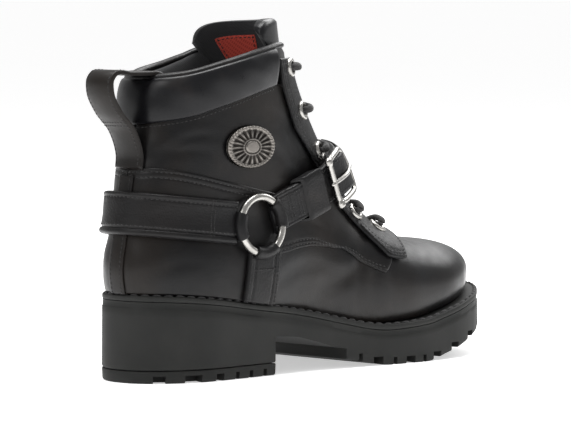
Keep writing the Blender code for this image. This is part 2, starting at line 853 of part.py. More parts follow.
def make_tongue():
    """Padded tongue under the stays, standing above the front of the collar."""
    rows = eased(12)[:, None]
    columns = np.linspace(-1, 1, 9)[None]
    drop = TONGUE_CORNER * columns ** 4 + TONGUE_LEAN * columns
    top = (drop - TONGUE_RISE) / (THROAT_TOP[1] - THROAT_LOW[1])
    t = top + rows * (0.97 - top)
    angle = columns * np.radians(np.interp(t, *TONGUE_SPREAD))
    under = tongue_level()
    high = cast(*throat_fan(t, angle), under)
    thickness = rounded(*t.shape, 0, TONGUE_THICKNESS)
    low = cast(*throat_fan(t, angle), under - thickness)
    slab("tongue", low, high, "leather")


def make_collar_pad():
    """Padded band around the collar, from stay to stay."""
    share = np.linspace(-PAD_SHARE, PAD_SHARE, 20)
    rows = eased(6)
    side = np.where(share < 0, OUTER, INNER)
    low_grid = np.zeros((len(share), len(rows), 3))
    high_grid = np.zeros_like(low_grid)
    puff = 0.25 + 0.75 * np.sin(math.pi * np.clip(rows, 0.02, 0.98)) ** 0.5
    for i, (value, where) in enumerate(zip(np.abs(share), side)):
        origin, direction = collar_ray(value, where)
        width = PAD_WIDTH * (1 - 0.2 * value)
        starts = origin - np.outer(rows * width, [0, 0, 1])
        low_grid[i] = cast(starts, direction, LIE)
        high_grid[i] = cast(starts, direction, LIE + PAD_THICKNESS * puff)
    slab("collar_pad", low_grid, high_grid, "leather")


def make_back_stay():
    """Strip over the seam at the back of the heel."""
    heights = eased(10)
    low_z = float(welt_top(HEEL_BACK)) + 2 * GAP
    high_z = BACK_STAY_TOP * BOOT_HEIGHT
    z = low_z + heights * (high_z - low_z)
    y = BACK_STAY_WIDTH * (eased(5) - 0.5)
    origin = np.zeros((len(z), len(y), 3))
    origin[..., 0] = HEEL_BACK + 0.3 * SOLE_LENGTH
    origin[..., 1] = y[None]
    origin[..., 2] = z[:, None]
    lift = STEP + GAP
    low = cast(origin, (-1, 0, 0), lift)
    high = cast(origin, (-1, 0, 0), rounded(len(z), len(y), lift, BACK_STAY_THICKNESS, 0.6))
    slab("back_stay", low, high, "leather")


def ring_frame(side):
    """Centre and outward direction of the harness ring on one side."""
    hub = np.array([RING_STATION, 0, RING_HEIGHT])
    centre = cast(hub, (0, side, 0), RING_LIFT)
    outward = normals(centre[None])[0]
    return Vector(centre), Vector(outward)


def ring_matrix(side):
    """Place a ring: its own X along the boot, its own Z outward."""
    centre, outward = ring_frame(side)
    ahead = Vector((1, 0, 0))
    ahead = (ahead - ahead.dot(outward) * outward).normalized()
    up = outward.cross(ahead)
    if up.z < 0:
        up = -up
        outward = -outward
    turn = Matrix((ahead, up, ahead.cross(up))).transposed().to_4x4()
    return Matrix.Translation(centre) @ turn


def torus(name, radius, wire, matrix, finish, sides=7, around=20):
    bpy.ops.mesh.primitive_torus_add(major_radius=radius, minor_radius=wire, major_segments=around,
                                     minor_segments=sides)
    obj = bpy.context.object
    obj.name = name
    mesh = obj.data
    bpy.data.objects.remove(obj)
    obj = place(name, mesh, finish)
    obj.matrix_world = matrix
    return obj


def torus_piece(name, radius, wire, first, last, matrix):
    """A bent rod: the part of a torus between two angles, with flat ends."""
    turns = np.radians(np.linspace(first, last, 6))
    sides = np.linspace(0, 2 * math.pi, 9)[:-1]
    points = []
    for turn in turns:
        for angle in sides:
            out = radius + wire * math.cos(angle)
            points.append((out * math.cos(turn), out * math.sin(turn), wire * math.sin(angle)))
    count = len(sides)
    faces = []
    for i in range(len(turns) - 1):
        for j in range(count):
            k = (j + 1) % count
            faces.append((i * count + j, (i + 1) * count + j, (i + 1) * count + k, i * count + k))
    faces.append(tuple(range(count)))
    faces.append(tuple((len(turns) - 1) * count + j for j in range(count)))
    obj = add_object(name, points, faces, "leather")
    obj.matrix_world = matrix
    return obj


def fan_band(name, plan, turns, half_width, lifts, thickness, columns=5):
    """A strap in a tilted plane through the ring, wrapped on the form."""
    tilt, forward = plan
    ahead = np.array([forward * math.cos(tilt), 0, math.sin(tilt)])
    across = np.array([-forward * math.sin(tilt), 0, math.cos(tilt)])
    hub = np.array([RING_STATION, 0, RING_HEIGHT])
    offset = 2 * half_width * (eased(columns) - 0.5)
    origin = hub + offset[None, :, None] * across
    direction = np.cos(turns)[:, None] * ahead + np.sin(turns)[:, None] * np.array([0, 1.0, 0])
    origin = np.broadcast_to(origin, (len(turns), columns, 3))
    direction = np.broadcast_to(direction[:, None], (len(turns), columns, 3))
    lift = np.broadcast_to(lifts[:, None], (len(turns), columns))
    top = rounded(len(turns), columns, 0, np.reshape(thickness, (-1, 1)), 0.5)
    return slab(name, cast(origin, direction, lift), cast(origin, direction, lift + top), "leather")


def fold_around_ring(strap, side, first, last):
    """Fold a strap's end around the ring: a sleeve joined on and the wire's way cut out."""
    matrix = ring_matrix(side)
    radius = (RING_OUTER - RING_WIRE) / 2
    wire = RING_WIRE / 2 + GAP
    label = f"{strap.name}_{'outer' if side < 0 else 'inner'}"
    sleeve = torus_piece(label + "_sleeve", radius, wire + FOLD_LEATHER, first, last, matrix)
    combine(strap, sleeve, "UNION")
    combine(strap, torus(label + "_way", radius, wire, matrix, "nickel"), "DIFFERENCE")


def make_rings():
    for side, label in ((OUTER, "outer"), (INNER, "inner")):
        torus(f"ring_{label}", (RING_OUTER - RING_WIRE) / 2, RING_WIRE / 2, ring_matrix(side), "nickel")


def make_heel_strap():
    """Strap around the back of the ankle, from ring to ring."""
    reach = HEEL_STRAP_REACH
    turns = reach * (2 * eased(19) - 1)
    lifts = np.full(len(turns), STRAP_LIFT)
    strap = fan_band("heel_strap", (HEEL_STRAP_TILT, -1), turns, HEEL_STRAP_WIDTH / 2, lifts,
                     STRAP_THICKNESS)
    fold_around_ring(strap, OUTER, *HEEL_FOLD)
    fold_around_ring(strap, INNER, *HEEL_FOLD)


def stay_level():
    """Height of the eyelets' seats above the form."""
    return STAY_LIE + EYESTAY_THICKNESS + 2 * GAP


def instep_lift(turns):
    """The instep strap rises from the leather near the rings to clear the laces."""
    away = np.abs(np.degrees(turns))
    over_stay = stay_level() + EYELET_HEIGHT + 4 * GAP
    on_wall = STEP + 2 * GAP
    return np.interp(away, STAY_TURNS, [over_stay, on_wall])


def make_instep_strap():
    """Strap over the instep, from ring to ring, through the buckle."""
    reach = INSTEP_STRAP_REACH
    turns = reach * (2 * eased(19) - 1)
    strap = fan_band("instep_strap", (INSTEP_STRAP_TILT, 1), turns, INSTEP_STRAP_WIDTH / 2,
                     instep_lift(turns), STRAP_THICKNESS)
    fold_around_ring(strap, OUTER, *INSTEP_FOLD)
    fold_around_ring(strap, INNER, *INSTEP_FOLD)


def make_foot_straps():
    """Short straps from each ring down to the welt."""
    rows = eased(7)
    for side, label in ((OUTER, "outer"), (INNER, "inner")):
        offset = FOOT_STRAP_WIDTH * (eased(5) - 0.5)
        origin = np.zeros((len(rows), len(offset), 3))
        origin[..., 0] = RING_STATION + FOOT_STRAP_AHEAD + offset[None] - FOOT_STRAP_LEAN * rows[:, None]
        high_z = RING_HEIGHT - RING_OUTER / 2 + RING_WIRE
        low_z = welt_top(origin[..., 0]) + 2 * GAP
        origin[..., 2] = high_z + rows[:, None] * (low_z - high_z)
        lift = STEP + GAP
        height = rounded(len(rows), len(offset), lift, FOOT_STRAP_THICKNESS, 0.5)
        low = cast(origin, (0, side, 0), lift)
        high = cast(origin, (0, side, 0), height)
        strap = slab(f"foot_strap_{label}", low, high, "leather")
        fold_around_ring(strap, side, *FOOT_FOLD)


def make_keeper():
    """Loop that holds the strap's end on the outer side."""
    half_turn = KEEPER_WIDTH / 2 / KEEPER_REACH
    turns = KEEPER_TURN + half_turn * np.linspace(-1, 1, 5)
    low = instep_lift(turns) - 2 * GAP - KEEPER_LEATHER
    outer = fan_band("strap_keeper", (INSTEP_STRAP_TILT, 1), turns,
                     INSTEP_STRAP_WIDTH / 2 + 2 * GAP + KEEPER_LEATHER, low,
                     STRAP_THICKNESS + 4 * GAP + 2 * KEEPER_LEATHER)
    wide = KEEPER_TURN + 1.7 * half_turn * np.linspace(-1, 1, 7)
    way = fan_band("keeper_way", (INSTEP_STRAP_TILT, 1), wide, INSTEP_STRAP_WIDTH / 2 + 2 * GAP,
                   instep_lift(wide) - 2 * GAP, STRAP_THICKNESS + 4 * GAP)
    combine(outer, way, "DIFFERENCE")


def strap_point(turn, across, above):
    """A point over the instep strap: a turn around the ankle, a run across the strap."""
    ahead = np.array([math.cos(INSTEP_STRAP_TILT), 0, math.sin(INSTEP_STRAP_TILT)])
    up = np.array([-math.sin(INSTEP_STRAP_TILT), 0, math.cos(INSTEP_STRAP_TILT)])
    hub = np.array([RING_STATION, 0, RING_HEIGHT])
    direction = math.cos(turn) * ahead + math.sin(turn) * np.array([0, 1.0, 0])
    level = float(instep_lift(np.array(turn))) + STRAP_THICKNESS + above
    return cast(hub + across * up, direction, level)


def tube(name, points, width, finish, closed=False, sides=1):
    """A round rod along points, made from a bevelled curve and turned into a mesh."""
    curve = bpy.data.curves.new(name, "CURVE")
    curve.dimensions = "3D"
    curve.bevel_depth = width / 2
    curve.bevel_resolution = sides
    curve.use_fill_caps = not closed
    spline = curve.splines.new("POLY")
    spline.points.add(len(points) - 1)
    for knot, point in zip(spline.points, points):
        knot.co = (*point, 1)
    spline.use_cyclic_u = closed
    rod = bpy.data.objects.new(name + "_curve", curve)
    bpy.context.scene.collection.objects.link(rod)
    solid = bpy.data.meshes.new_from_object(rod.evaluated_get(bpy.context.evaluated_depsgraph_get()))
    bpy.data.objects.remove(rod)
    work = bmesh.new()
    work.from_mesh(solid)
    bmesh.ops.remove_doubles(work, verts=work.verts, dist=0.00001)
    bmesh.ops.recalc_face_normals(work, faces=work.faces)
    work.to_mesh(solid)
    work.free()
    return place(name, solid, finish)


def through(points, count):
    """A smooth curve through a few points, closed runs excepted."""
    points = np.asarray(points, float)
    run = np.concatenate([[0], np.cumsum(np.linalg.norm(np.diff(points, axis=0), axis=1))])
    where = np.linspace(0, run[-1], count)
    columns = []
    for axis in range(points.shape[1]):
        rows = np.column_stack([run, points[:, axis]])
        columns.append(hermite(rows, where))
    return np.stack(columns, 1)


def hermite(rows, where):
    """Cubic through rows of (run, value) with slopes taken across each row."""
    run, value = rows[:, 0], rows[:, 1]
    slope = np.gradient(value, run)
    i = np.clip(np.searchsorted(run, where, side="right") - 1, 0, len(run) - 2)
    h = run[i + 1] - run[i]
    t = (where - run[i]) / h
    start = (1 + 2 * t) * (1 - t) ** 2 * value[i] + t * (1 - t) ** 2 * h * slope[i]
    end = t * t * (3 - 2 * t) * value[i + 1] + t * t * (t - 1) * h * slope[i + 1]
    return start + end


def make_buckle():
    """Rectangular frame around the instep strap with its prong across."""
    first, last = BUCKLE_TURNS
    half = (BUCKLE_LENGTH - BUCKLE_WIRE) / 2
    seat = GAP + BUCKLE_WIRE / 2
    points = []
    corners = ((1, 1), (-1, 1), (-1, -1), (1, -1))
    middle, reach = (first + last) / 2, (last - first) / 2
    for k, (turn_sign, across_sign) in enumerate(corners):
        for step in range(4):
            angle = math.pi / 2 * (k + step / 3)
            turn = middle + reach * ((1 - BUCKLE_ROUND[0]) * turn_sign + BUCKLE_ROUND[0] * math.cos(angle))
            across = half * ((1 - BUCKLE_ROUND[1]) * across_sign + BUCKLE_ROUND[1] * math.sin(angle))
            points.append(strap_point(turn, across, seat))
    frame = tube("buckle", points, BUCKLE_WIRE, "nickel", closed=True)
    prong_turns = np.linspace(last, first - 0.03, 7)
    prong = [strap_point(turn, 0, seat + BUCKLE_PRONG * 0.5) for turn in prong_turns]
    combine(frame, tube("buckle_prong", prong, BUCKLE_PRONG, "nickel"), "UNION")


def eyelet_seats(side, inset=EYELET_INSET, level=None):
    """Points on one stay, down the throat, where its eyelets sit."""
    t = np.array([share for share, _ in EYELETS])
    angle = across_throat(t, np.array([inset]), side)
    level = stay_level() if level is None else level
    return cast(*throat_fan(t[:, None], angle), level)[:, 0]


def make_eyelets():
    """Turned metal rings on both stays."""
    inner = EYELET_HOLE / 2
    outer = EYELET_OUTER / 2
    profile = [(outer, 0), (inner, 0), (inner, 1.0), (0.5 * (inner + outer), 1.0)]
    for side, label in ((OUTER, "outer"), (INNER, "inner")):
        seats = eyelet_seats(side)
        for k, (seat, outward) in enumerate(zip(seats, normals(seats))):
            mesh = bpy.data.meshes.new("eyelet")
            ring = [(radius, 0, height * EYELET_HEIGHT) for radius, height in profile]
            edges = [(i, (i + 1) % len(ring)) for i in range(len(ring))]
            mesh.from_pydata(ring, edges, [])
            obj = place(f"eyelet_{label}_{k + 1}", mesh, "nickel")
            screw = obj.modifiers.new("turn", "SCREW")
            screw.steps = 10
            screw.render_steps = 10
            screw.use_merge_vertices = True
            screw.merge_threshold = 0.0001
            turn = Vector(outward).to_track_quat("Z", "Y").to_matrix().to_4x4()
            obj.matrix_world = Matrix.Translation(Vector(seat)) @ turn


def in_throat(t, reach, level):
    """A point over the tongue: share down the throat, reach to one side."""
    start, ahead = throat_ray(np.array([t]))
    return cast(start + np.array([0, reach, 0]), ahead, level)[0]


def lace_points(k):
    """Where a lace rides: over each eyelet, over the stay's edge, and tucked in the throat."""
    radius = LACE_WIDTH / 2
    over = stay_level() + EYELET_HEIGHT + 3 * GAP + radius
    edge = stay_level() + EYELET_HEIGHT + 2 * GAP + radius
    share, clearance = EYELETS[k]
    low = tongue_level() + radius + clearance * GAP
    reach = THROAT_WIDTH * float(throat_half(share)) - radius - 8 * GAP
    rows = {"middle": in_throat(share - LACE_MIDDLE, 0, low)}
    for side in (OUTER, INNER):
        rows["over", side] = eyelet_seats(side, EYELET_INSET, over)[k]
        rows["edge", side] = eyelet_seats(side, 0.0, edge)[k]
        rows["above", side] = in_throat(share - LACE_TUCK, side * reach, low)
        rising = share - (LACE_TUCK + LACE_MIDDLE) / 2
        rows["rising", side] = in_throat(rising, side * reach / 2, low)
        if k + 1 < len(EYELETS):
            falling = (share + LACE_TUCK + EYELETS[k + 1][0] - LACE_MIDDLE) / 2
            rows["falling", side] = in_throat(falling, side * reach / 2, low)
        rows["below", side] = in_throat(share + LACE_TUCK, side * reach, low)
    return rows


def make_laces():
    """A bar at the top and a crossing between each two pairs of eyelets."""
    top = lace_points(0)
    bar = [top["over", OUTER], top["edge", OUTER], top["edge", INNER], top["over", INNER]]
    tube("lace_bar", through(bar, 7), LACE_WIDTH, "lace")
    for k in range(len(EYELETS) - 1):
        upper, lower = lace_points(k), lace_points(k + 1)
        strands = []
        for side in (OUTER, INNER):
            near = [lower["over", side], lower["edge", side], lower["above", side]]
            if k + 1 == UNDER_STRAP:
                near = near[-1:]
            far = [upper["falling", -side], upper["below", -side]]
            strands.append(through([*near, lower["rising", side], lower["middle"], *far], 9))
        crossing = tube(f"lace_crossing_{k + 1}", strands[0], LACE_WIDTH, "lace")
        combine(crossing, tube(f"lace_strand_{k + 1}", strands[1], LACE_WIDTH, "lace"), "UNION")


def make_pull_loop():
    """Leather loop at the back of the collar, from the heel strap over into the boot."""
    topline = float(top_outer(0)) * BOOT_HEIGHT
    z = topline + LOOP_HEIGHT * np.array([row[0] for row in PULL_LOOP])
    behind = np.array([row[1] for row in PULL_LOOP])
    origin = np.stack([LEG_AXIS + 0 * z, 0 * z, np.minimum(z, topline)], 1)
    back = cast(origin, (-1, 0, 0), 0.0)[:, 0]
    outside = back - STEP - GAP - LOOP_THICKNESS / 2
    inside = back + WALL + 3 * GAP + LOOP_THICKNESS / 2
    reach = np.maximum(behind, 0) * LOOP_REACH
    x = outside - reach + np.maximum(-behind, 0) * (inside - outside)
    path = through(np.stack([x, z], 1), 19)
    along = np.gradient(path, axis=0)
    along /= np.linalg.norm(along, axis=1)[:, None]
    across = np.stack([along[:, 1], -along[:, 0]], 1) * LOOP_THICKNESS / 2
    y = LOOP_WIDTH * np.linspace(-0.5, 0.5, 4)
    bow = y ** 2 / (2 * LOOP_BOW)
    grids = []
    for sign in (-1, 1):
        edge = path + sign * across
        grid = np.zeros((len(path), len(y), 3))
        grid[..., 0] = edge[:, 0, None] + bow[None]
        grid[..., 1] = y[None]
        grid[..., 2] = edge[:, 1, None]
        grids.append(grid)
    slab("pull_loop", grids[0], grids[1], "leather")


def make_concho():
    """Plain oval ornament on the outer side, flat against the leather."""
    hub = np.array([CONCHO_STATION, 0, CONCHO_RISE])
    seat = cast(hub, (0, OUTER, 0), LIE)
    outward = Vector(normals(seat[None])[0])
    bpy.ops.mesh.primitive_cylinder_add(vertices=22, radius=0.5, depth=1)
    obj = bpy.context.object
    mesh = obj.data
    bpy.data.objects.remove(obj)
    mesh.transform(Matrix.Translation((0, 0, 0.5)))
    mesh.transform(Matrix.Diagonal((CONCHO_LENGTH, CONCHO_HEIGHT, CONCHO_THICKNESS, 1)))
    obj = place("concho", mesh, "nickel")
    bevel = obj.modifiers.new("rim", "BEVEL")
    bevel.width = 0.8 * MM
    bevel.segments = 1
    bevel.limit_method = "ANGLE"
    ahead = Vector((1, 0, 0))
    ahead = (ahead - ahead.dot(outward) * outward).normalized()
    turn = Matrix((ahead, outward.cross(ahead), outward)).transposed().to_4x4()
    obj.matrix_world = Matrix.Translation(Vector(seat)) @ turn


def main():
    for obj in list(bpy.data.objects):
        bpy.data.objects.remove(obj)
    for name in (PARTS, CUTTERS):
        if name not in bpy.data.collections:
            bpy.context.scene.collection.children.link(bpy.data.collections.new(name))
    make_sole()
    make_upper()
    make_insole()
    make_tongue()
    make_collar_pad()
    make_eyestays()
    make_back_stay()
    make_rings()
    make_heel_strap()
    make_instep_strap()
    make_foot_straps()
    make_keeper()
    make_buckle()
    make_eyelets()
    make_laces()
    make_pull_loop()
    make_concho()


main()
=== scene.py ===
"""Right harness boot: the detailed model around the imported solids.

Metres, +Z up. The toe points along +X, the outer side of the foot is -Y, and the origin
is on the floor under the middle of the heel.
"""

import logging
import math
from dataclasses import dataclass, field
from enum import Enum
from typing import Any, Callable, Optional, Sequence

import bmesh
import bpy
import numpy as np
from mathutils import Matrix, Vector


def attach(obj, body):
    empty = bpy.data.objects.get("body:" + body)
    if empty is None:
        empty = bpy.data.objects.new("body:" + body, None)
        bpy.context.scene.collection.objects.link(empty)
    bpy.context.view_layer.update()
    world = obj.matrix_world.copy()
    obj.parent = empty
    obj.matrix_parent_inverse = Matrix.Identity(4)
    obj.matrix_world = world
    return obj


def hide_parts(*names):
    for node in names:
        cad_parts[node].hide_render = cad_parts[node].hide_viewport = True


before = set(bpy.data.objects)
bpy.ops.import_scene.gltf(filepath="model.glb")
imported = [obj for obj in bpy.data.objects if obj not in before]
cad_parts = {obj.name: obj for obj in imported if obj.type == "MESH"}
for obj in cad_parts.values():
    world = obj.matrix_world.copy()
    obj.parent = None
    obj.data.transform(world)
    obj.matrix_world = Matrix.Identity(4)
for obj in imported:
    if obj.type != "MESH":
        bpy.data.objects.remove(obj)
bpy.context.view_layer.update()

LOG = logging.getLogger("boot")
MM = 0.001
GAP = 0.3 * MM
WALL = 2.4 * MM
STITCH_CHANNEL = 0.5 * MM
FIELD_STEP = 0.2 * MM
FAR = 150 * MM
PHOTO_SIZE = (571, 429)

Array = np.ndarray

# Sole plan: share of the sole's length, outer and inner half width as shares of the ball's width
SOLE_PLAN = (
    (0.00, 0.306, 0.306), (0.06, 0.327, 0.327), (0.14, 0.352, 0.347), (0.24, 0.362, 0.342),
    (0.34, 0.367, 0.321), (0.44, 0.388, 0.311), (0.54, 0.434, 0.357), (0.62, 0.480, 0.423),
    (0.70, 0.505, 0.474), (0.78, 0.500, 0.485), (0.86, 0.459, 0.459), (0.93, 0.378, 0.398),
    (1.00, 0.306, 0.327),
)

# Sole side: share of the sole's length, welt top and tread bottom as shares of the seat's height
SOLE_SIDE = (
    (0.00, 1.000, 0.000), (0.07, 0.980, 0.000), (0.16, 0.923, 0.000), (0.24, 0.850, 0.000),
    (0.34, 0.765, 0.000), (0.41, 0.690, 0.060), (0.49, 0.585, 0.108), (0.56, 0.500, 0.030),
    (0.60, 0.478, 0.000), (0.70, 0.508, 0.000), (0.76, 0.575, 0.072), (0.81, 0.640, 0.150),
    (0.87, 0.720, 0.260), (1.00, 0.800, 0.400),
)

# Arch of the waist: share from the breast to the tread, height as a share of the seat's height
ARCH = ((0.0, 0.445), (0.3, 0.42), (0.6, 0.34), (0.85, 0.26), (1.0, 0.23))

# Edge notches: share of the sole's length, width as a share of the widest
NOTCHES = (
    (0.036, 0.85), (0.0955, 1.25), (0.155, 0.66), (0.201, 0.32), (0.238, 0.32),
    (0.276, 0.32), (0.528, 0.32), (0.571, 0.80), (0.612, 0.32), (0.652, 0.80),
    (0.690, 0.32), (0.728, 0.80), (0.785, 0.80), (0.845, 0.80), (0.905, 0.80),
)

# Foot form: share of the last's length, top height as a share of the toe's height
FOOT_TOP = (
    (0.00, 1.25), (0.35, 1.36), (0.50, 1.35), (0.58, 1.27), (0.66, 1.15),
    (0.74, 1.06), (0.80, 1.02), (0.90, 1.00), (1.00, 0.98),
)

# Leg form: share of the boot's height, back and front as shares of the sole's length, half
# width as a share of the ankle's
LEG = (
    (0.17, 0.026, 0.42, 0.455), (0.27, 0.022, 0.56, 0.465), (0.35, 0.015, 0.635, 0.480),
    (0.43, 0.015, 0.640, 0.490), (0.50, 0.020, 0.610, 0.495), (0.60, 0.030, 0.567, 0.500),
    (0.70, 0.043, 0.518, 0.500), (0.81, 0.058, 0.474, 0.495), (0.92, 0.069, 0.440, 0.490),
    (1.10, 0.074, 0.415, 0.490),
)

# Topline: share from the back to the throat, outer and inner height as shares of the boot's
TOPLINE = (
    (0.00, 0.905, 0.905), (0.18, 0.918, 0.905), (0.38, 0.948, 0.922), (0.58, 0.972, 0.938),
    (0.76, 0.990, 0.960), (0.90, 1.000, 0.982), (1.00, 0.975, 0.965),
)

# Throat: share down the throat, half gap as a share of its width
THROAT = (
    (0.00, 0.50), (0.30, 0.47), (0.55, 0.40), (0.75, 0.36), (0.88, 0.32), (0.95, 0.24),
    (1.00, 0.00),
)

# Pull loop: height from the topline and distance behind the wall, as shares of the loop's
# height and reach; -1 is on the wall's inner side
PULL_LOOP = (
    (-0.94, 0.00), (-0.80, 0.03), (-0.66, 0.14), (-0.53, 0.30), (-0.32, 0.70), (-0.11, 0.95),
    (0.01, 0.97), (0.080, 0.86), (0.090, 0.72), (0.070, 0.50), (0.065, 0.25), (0.065, 0.00),
    (0.065, -0.60), (0.035, -1.15), (-0.04, -1.25), (-0.20, -1.10), (-0.38, -1.05),
)

# Counter's top edge, from the back forwards, in mm: x, distance to the side, z
COUNTER_TOP = (
    (-34.0, 0.0, 112.3), (-28.4, 11.9, 113.0), (-19.7, 20.3, 112.0), (-8.5, 26.2, 109.6),
    (4.7, 30.3, 106.3), (19.7, 32.8, 102.8), (30.4, 33.7, 100.3), (42.7, 33.9, 97.6),
    (50.0, 34.0, 95.5),
)
COUNTER_FRONT_LOW = (43.8, 36.3, 38.0)

# Lower edge of the quarter: hidden under the counter, then the seam over the vamp, in mm
QUARTER_LOW = (
    (-36.0, 0.0, 104.0), (-21.0, 21.0, 104.0), (4.7, 30.3, 97.0), (34.0, 34.5, 84.0),
    (44.0, 36.0, 66.0), (52.2, 35.3, 65.2), (64.4, 35.0, 67.0), (78.3, 34.7, 67.3),
    (91.6, 34.9, 65.4), (104.9, 36.3, 61.7), (113.0, 38.6, 57.3), (120.6, 40.6, 53.7),
    (128.8, 42.5, 50.2),
)

# Soft creases of the leather in mm: x, z, lean in degrees, length, width, depth
CREASES = (
    (112.0, 62.0, 62.0, 20.0, 3.4, 0.55),
    (121.0, 58.0, 68.0, 17.0, 3.0, 0.45),
    (103.0, 52.0, 35.0, 16.0, 4.2, 0.35),
    (92.0, 48.0, 20.0, 20.0, 5.0, 0.35),
    (66.0, 56.0, 8.0, 24.0, 4.5, 0.40),
    (74.0, 79.0, -18.0, 15.0, 3.4, 0.45),
    (66.0, 86.0, -24.0, 13.0, 3.0, 0.40),
    (60.0, 128.0, -52.0, 15.0, 3.5, 0.45),
    (47.0, 118.0, -38.0, 13.0, 3.2, 0.35),
    (-18.0, 121.0, 12.0, 13.0, 3.0, 0.40),
    (-12.0, 128.0, 16.0, 12.0, 2.6, 0.30),
    (-22.0, 62.0, 10.0, 15.0, 4.0, 0.30),
)

# Footbed's rings in mm: distance in from the form, height over the welt
FOOTBED = ((3.3, 0.3), (3.3, 2.9), (4.0, 3.6), (5.2, 3.8), (16.0, 3.4), (26.0, 3.2))

# Corners and faces of a cube of half size 1
CUBE = np.array([(a, b, c) for a in (-1, 1) for b in (-1, 1) for c in (-1, 1)])
CUBE_FACES = np.array([(0, 1, 3, 2), (4, 6, 7, 5), (0, 4, 5, 1), (2, 3, 7, 6), (0, 2, 6, 4),
                       (1, 5, 7, 3)])


class Side(Enum):
    """Which side of the foot a piece is on; the value is the sign of y."""

    OUTER = -1
    INNER = 1

    @property
    def label(self) -> str:
        """The side's name as it stands in node names."""
        return self.name.lower()


class Border(Enum):
    """One of a panel's four borders: the axis that the inset runs along, and which end."""

    LOW = (1, 0)
    TOP = (1, 1)
    START = (0, 0)
    END = (0, 1)


def smooth(rows: Sequence, column: int) -> Callable[[Array], Array]:
    """Give a function through one column of a table that never overshoots its rows.

    Each step is a cubic whose end slopes are the harmonic means of the slopes beside them.

    Args:
        rows: The table, with the share in its first column.
        column: The column that the function gives.

    Returns:
        A function of an array of shares.
    """
    share = np.array([row[0] for row in rows])
    value = np.array([row[column] for row in rows])
    run = np.diff(share)
    rise = np.diff(value) / run
    slope = np.zeros(len(share))
    slope[0], slope[-1] = rise[0], rise[-1]
    same = rise[:-1] * rise[1:] > 0
    before, after = rise[:-1][same], rise[1:][same]
    slope[1:-1][same] = 2 * before * after / (before + after)

    def at(where: Array) -> Array:
        """The table's value at each share."""
        where = np.clip(np.asarray(where, float), share[0], share[-1])
        i = np.clip(np.searchsorted(share, where, side="right") - 1, 0, len(run) - 1)
        t = (where - share[i]) / run[i]
        start = (1 + 2 * t) * (1 - t) ** 2 * value[i] + t * (1 - t) ** 2 * run[i] * slope[i]
        end = t * t * (3 - 2 * t) * value[i + 1] + t * t * (t - 1) * run[i] * slope[i + 1]
        return start + end

    return at


def through(points: Sequence, count: int) -> Array:
    """A smooth curve through a few points, in steps of equal length along the chords.

    Args:
        points: The points, in two or three columns.
        count: How many points the curve gets.

    Returns:
        The curve's points.
    """
    points = np.asarray(points, float)
    run = running(points)
    slope = np.gradient(points, run, axis=0)
    where = np.linspace(0, run[-1], count)
    i = np.clip(np.searchsorted(run, where, side="right") - 1, 0, len(run) - 2)
    h = (run[i + 1] - run[i])[:, None]
    t = (where - run[i])[:, None] / h
    start = (1 + 2 * t) * (1 - t) ** 2 * points[i] + t * (1 - t) ** 2 * h * slope[i]
    return start + t * t * (3 - 2 * t) * points[i + 1] + t * t * (t - 1) * h * slope[i + 1]


def even(points: Array, count: int) -> Array:
    """Points in equal steps along a run of straight lines.

    Args:
        points: The line's corners.
        count: How many points are wanted.

    Returns:
        The points.
    """
    run = running(points)
    where = np.linspace(0, run[-1], count)
    return np.stack([np.interp(where, run, column) for column in points.T], 1)


def running(points: Array) -> Array:
    """Length along a line of points, from 0 at its first."""
    steps = np.linalg.norm(np.diff(points, axis=0), axis=1)
    return np.concatenate([[0], np.cumsum(steps)])


def unit(vectors: Array) -> Array:
    """The same directions, each of length 1."""
    return vectors / np.maximum(np.linalg.norm(vectors, axis=-1, keepdims=True), 1e-12)


def bell(x: Array) -> Array:
    """A soft hump: 1 at 0 and falling as the normal curve does."""
    return np.exp(-x ** 2)


def ease(x: Array) -> Array:
    """0 below 0, 1 above 1, and a smooth cubic step between."""
    x = np.clip(x, 0, 1)
    return x * x * (3 - 2 * x)


def edged(length: float, step: float, fine: float = 0.0) -> Array:
    """Shares from 0 to 1 along a length, close together at both ends for a rounded edge.

    Args:
        length: The length in metres.
        step: The distance between rows in the middle.
        fine: How far in from each end rows stay close, for a seam beside the edge.

    Returns:
        The shares in rising order.
    """
    near = np.array([0, 0.04, 0.15, 0.35, 0.65, 1.0]) * MM
    if fine:
        near = np.concatenate([near, np.arange(1.45, fine / MM, 0.45) * MM])
    count = max(3, int(round((length - 2 * near[-1]) / step)) + 1)
    middle = np.linspace(near[-1], length - near[-1], count)
    return np.concatenate([near[:-1], middle, (length - near[:-1])[::-1]]) / length


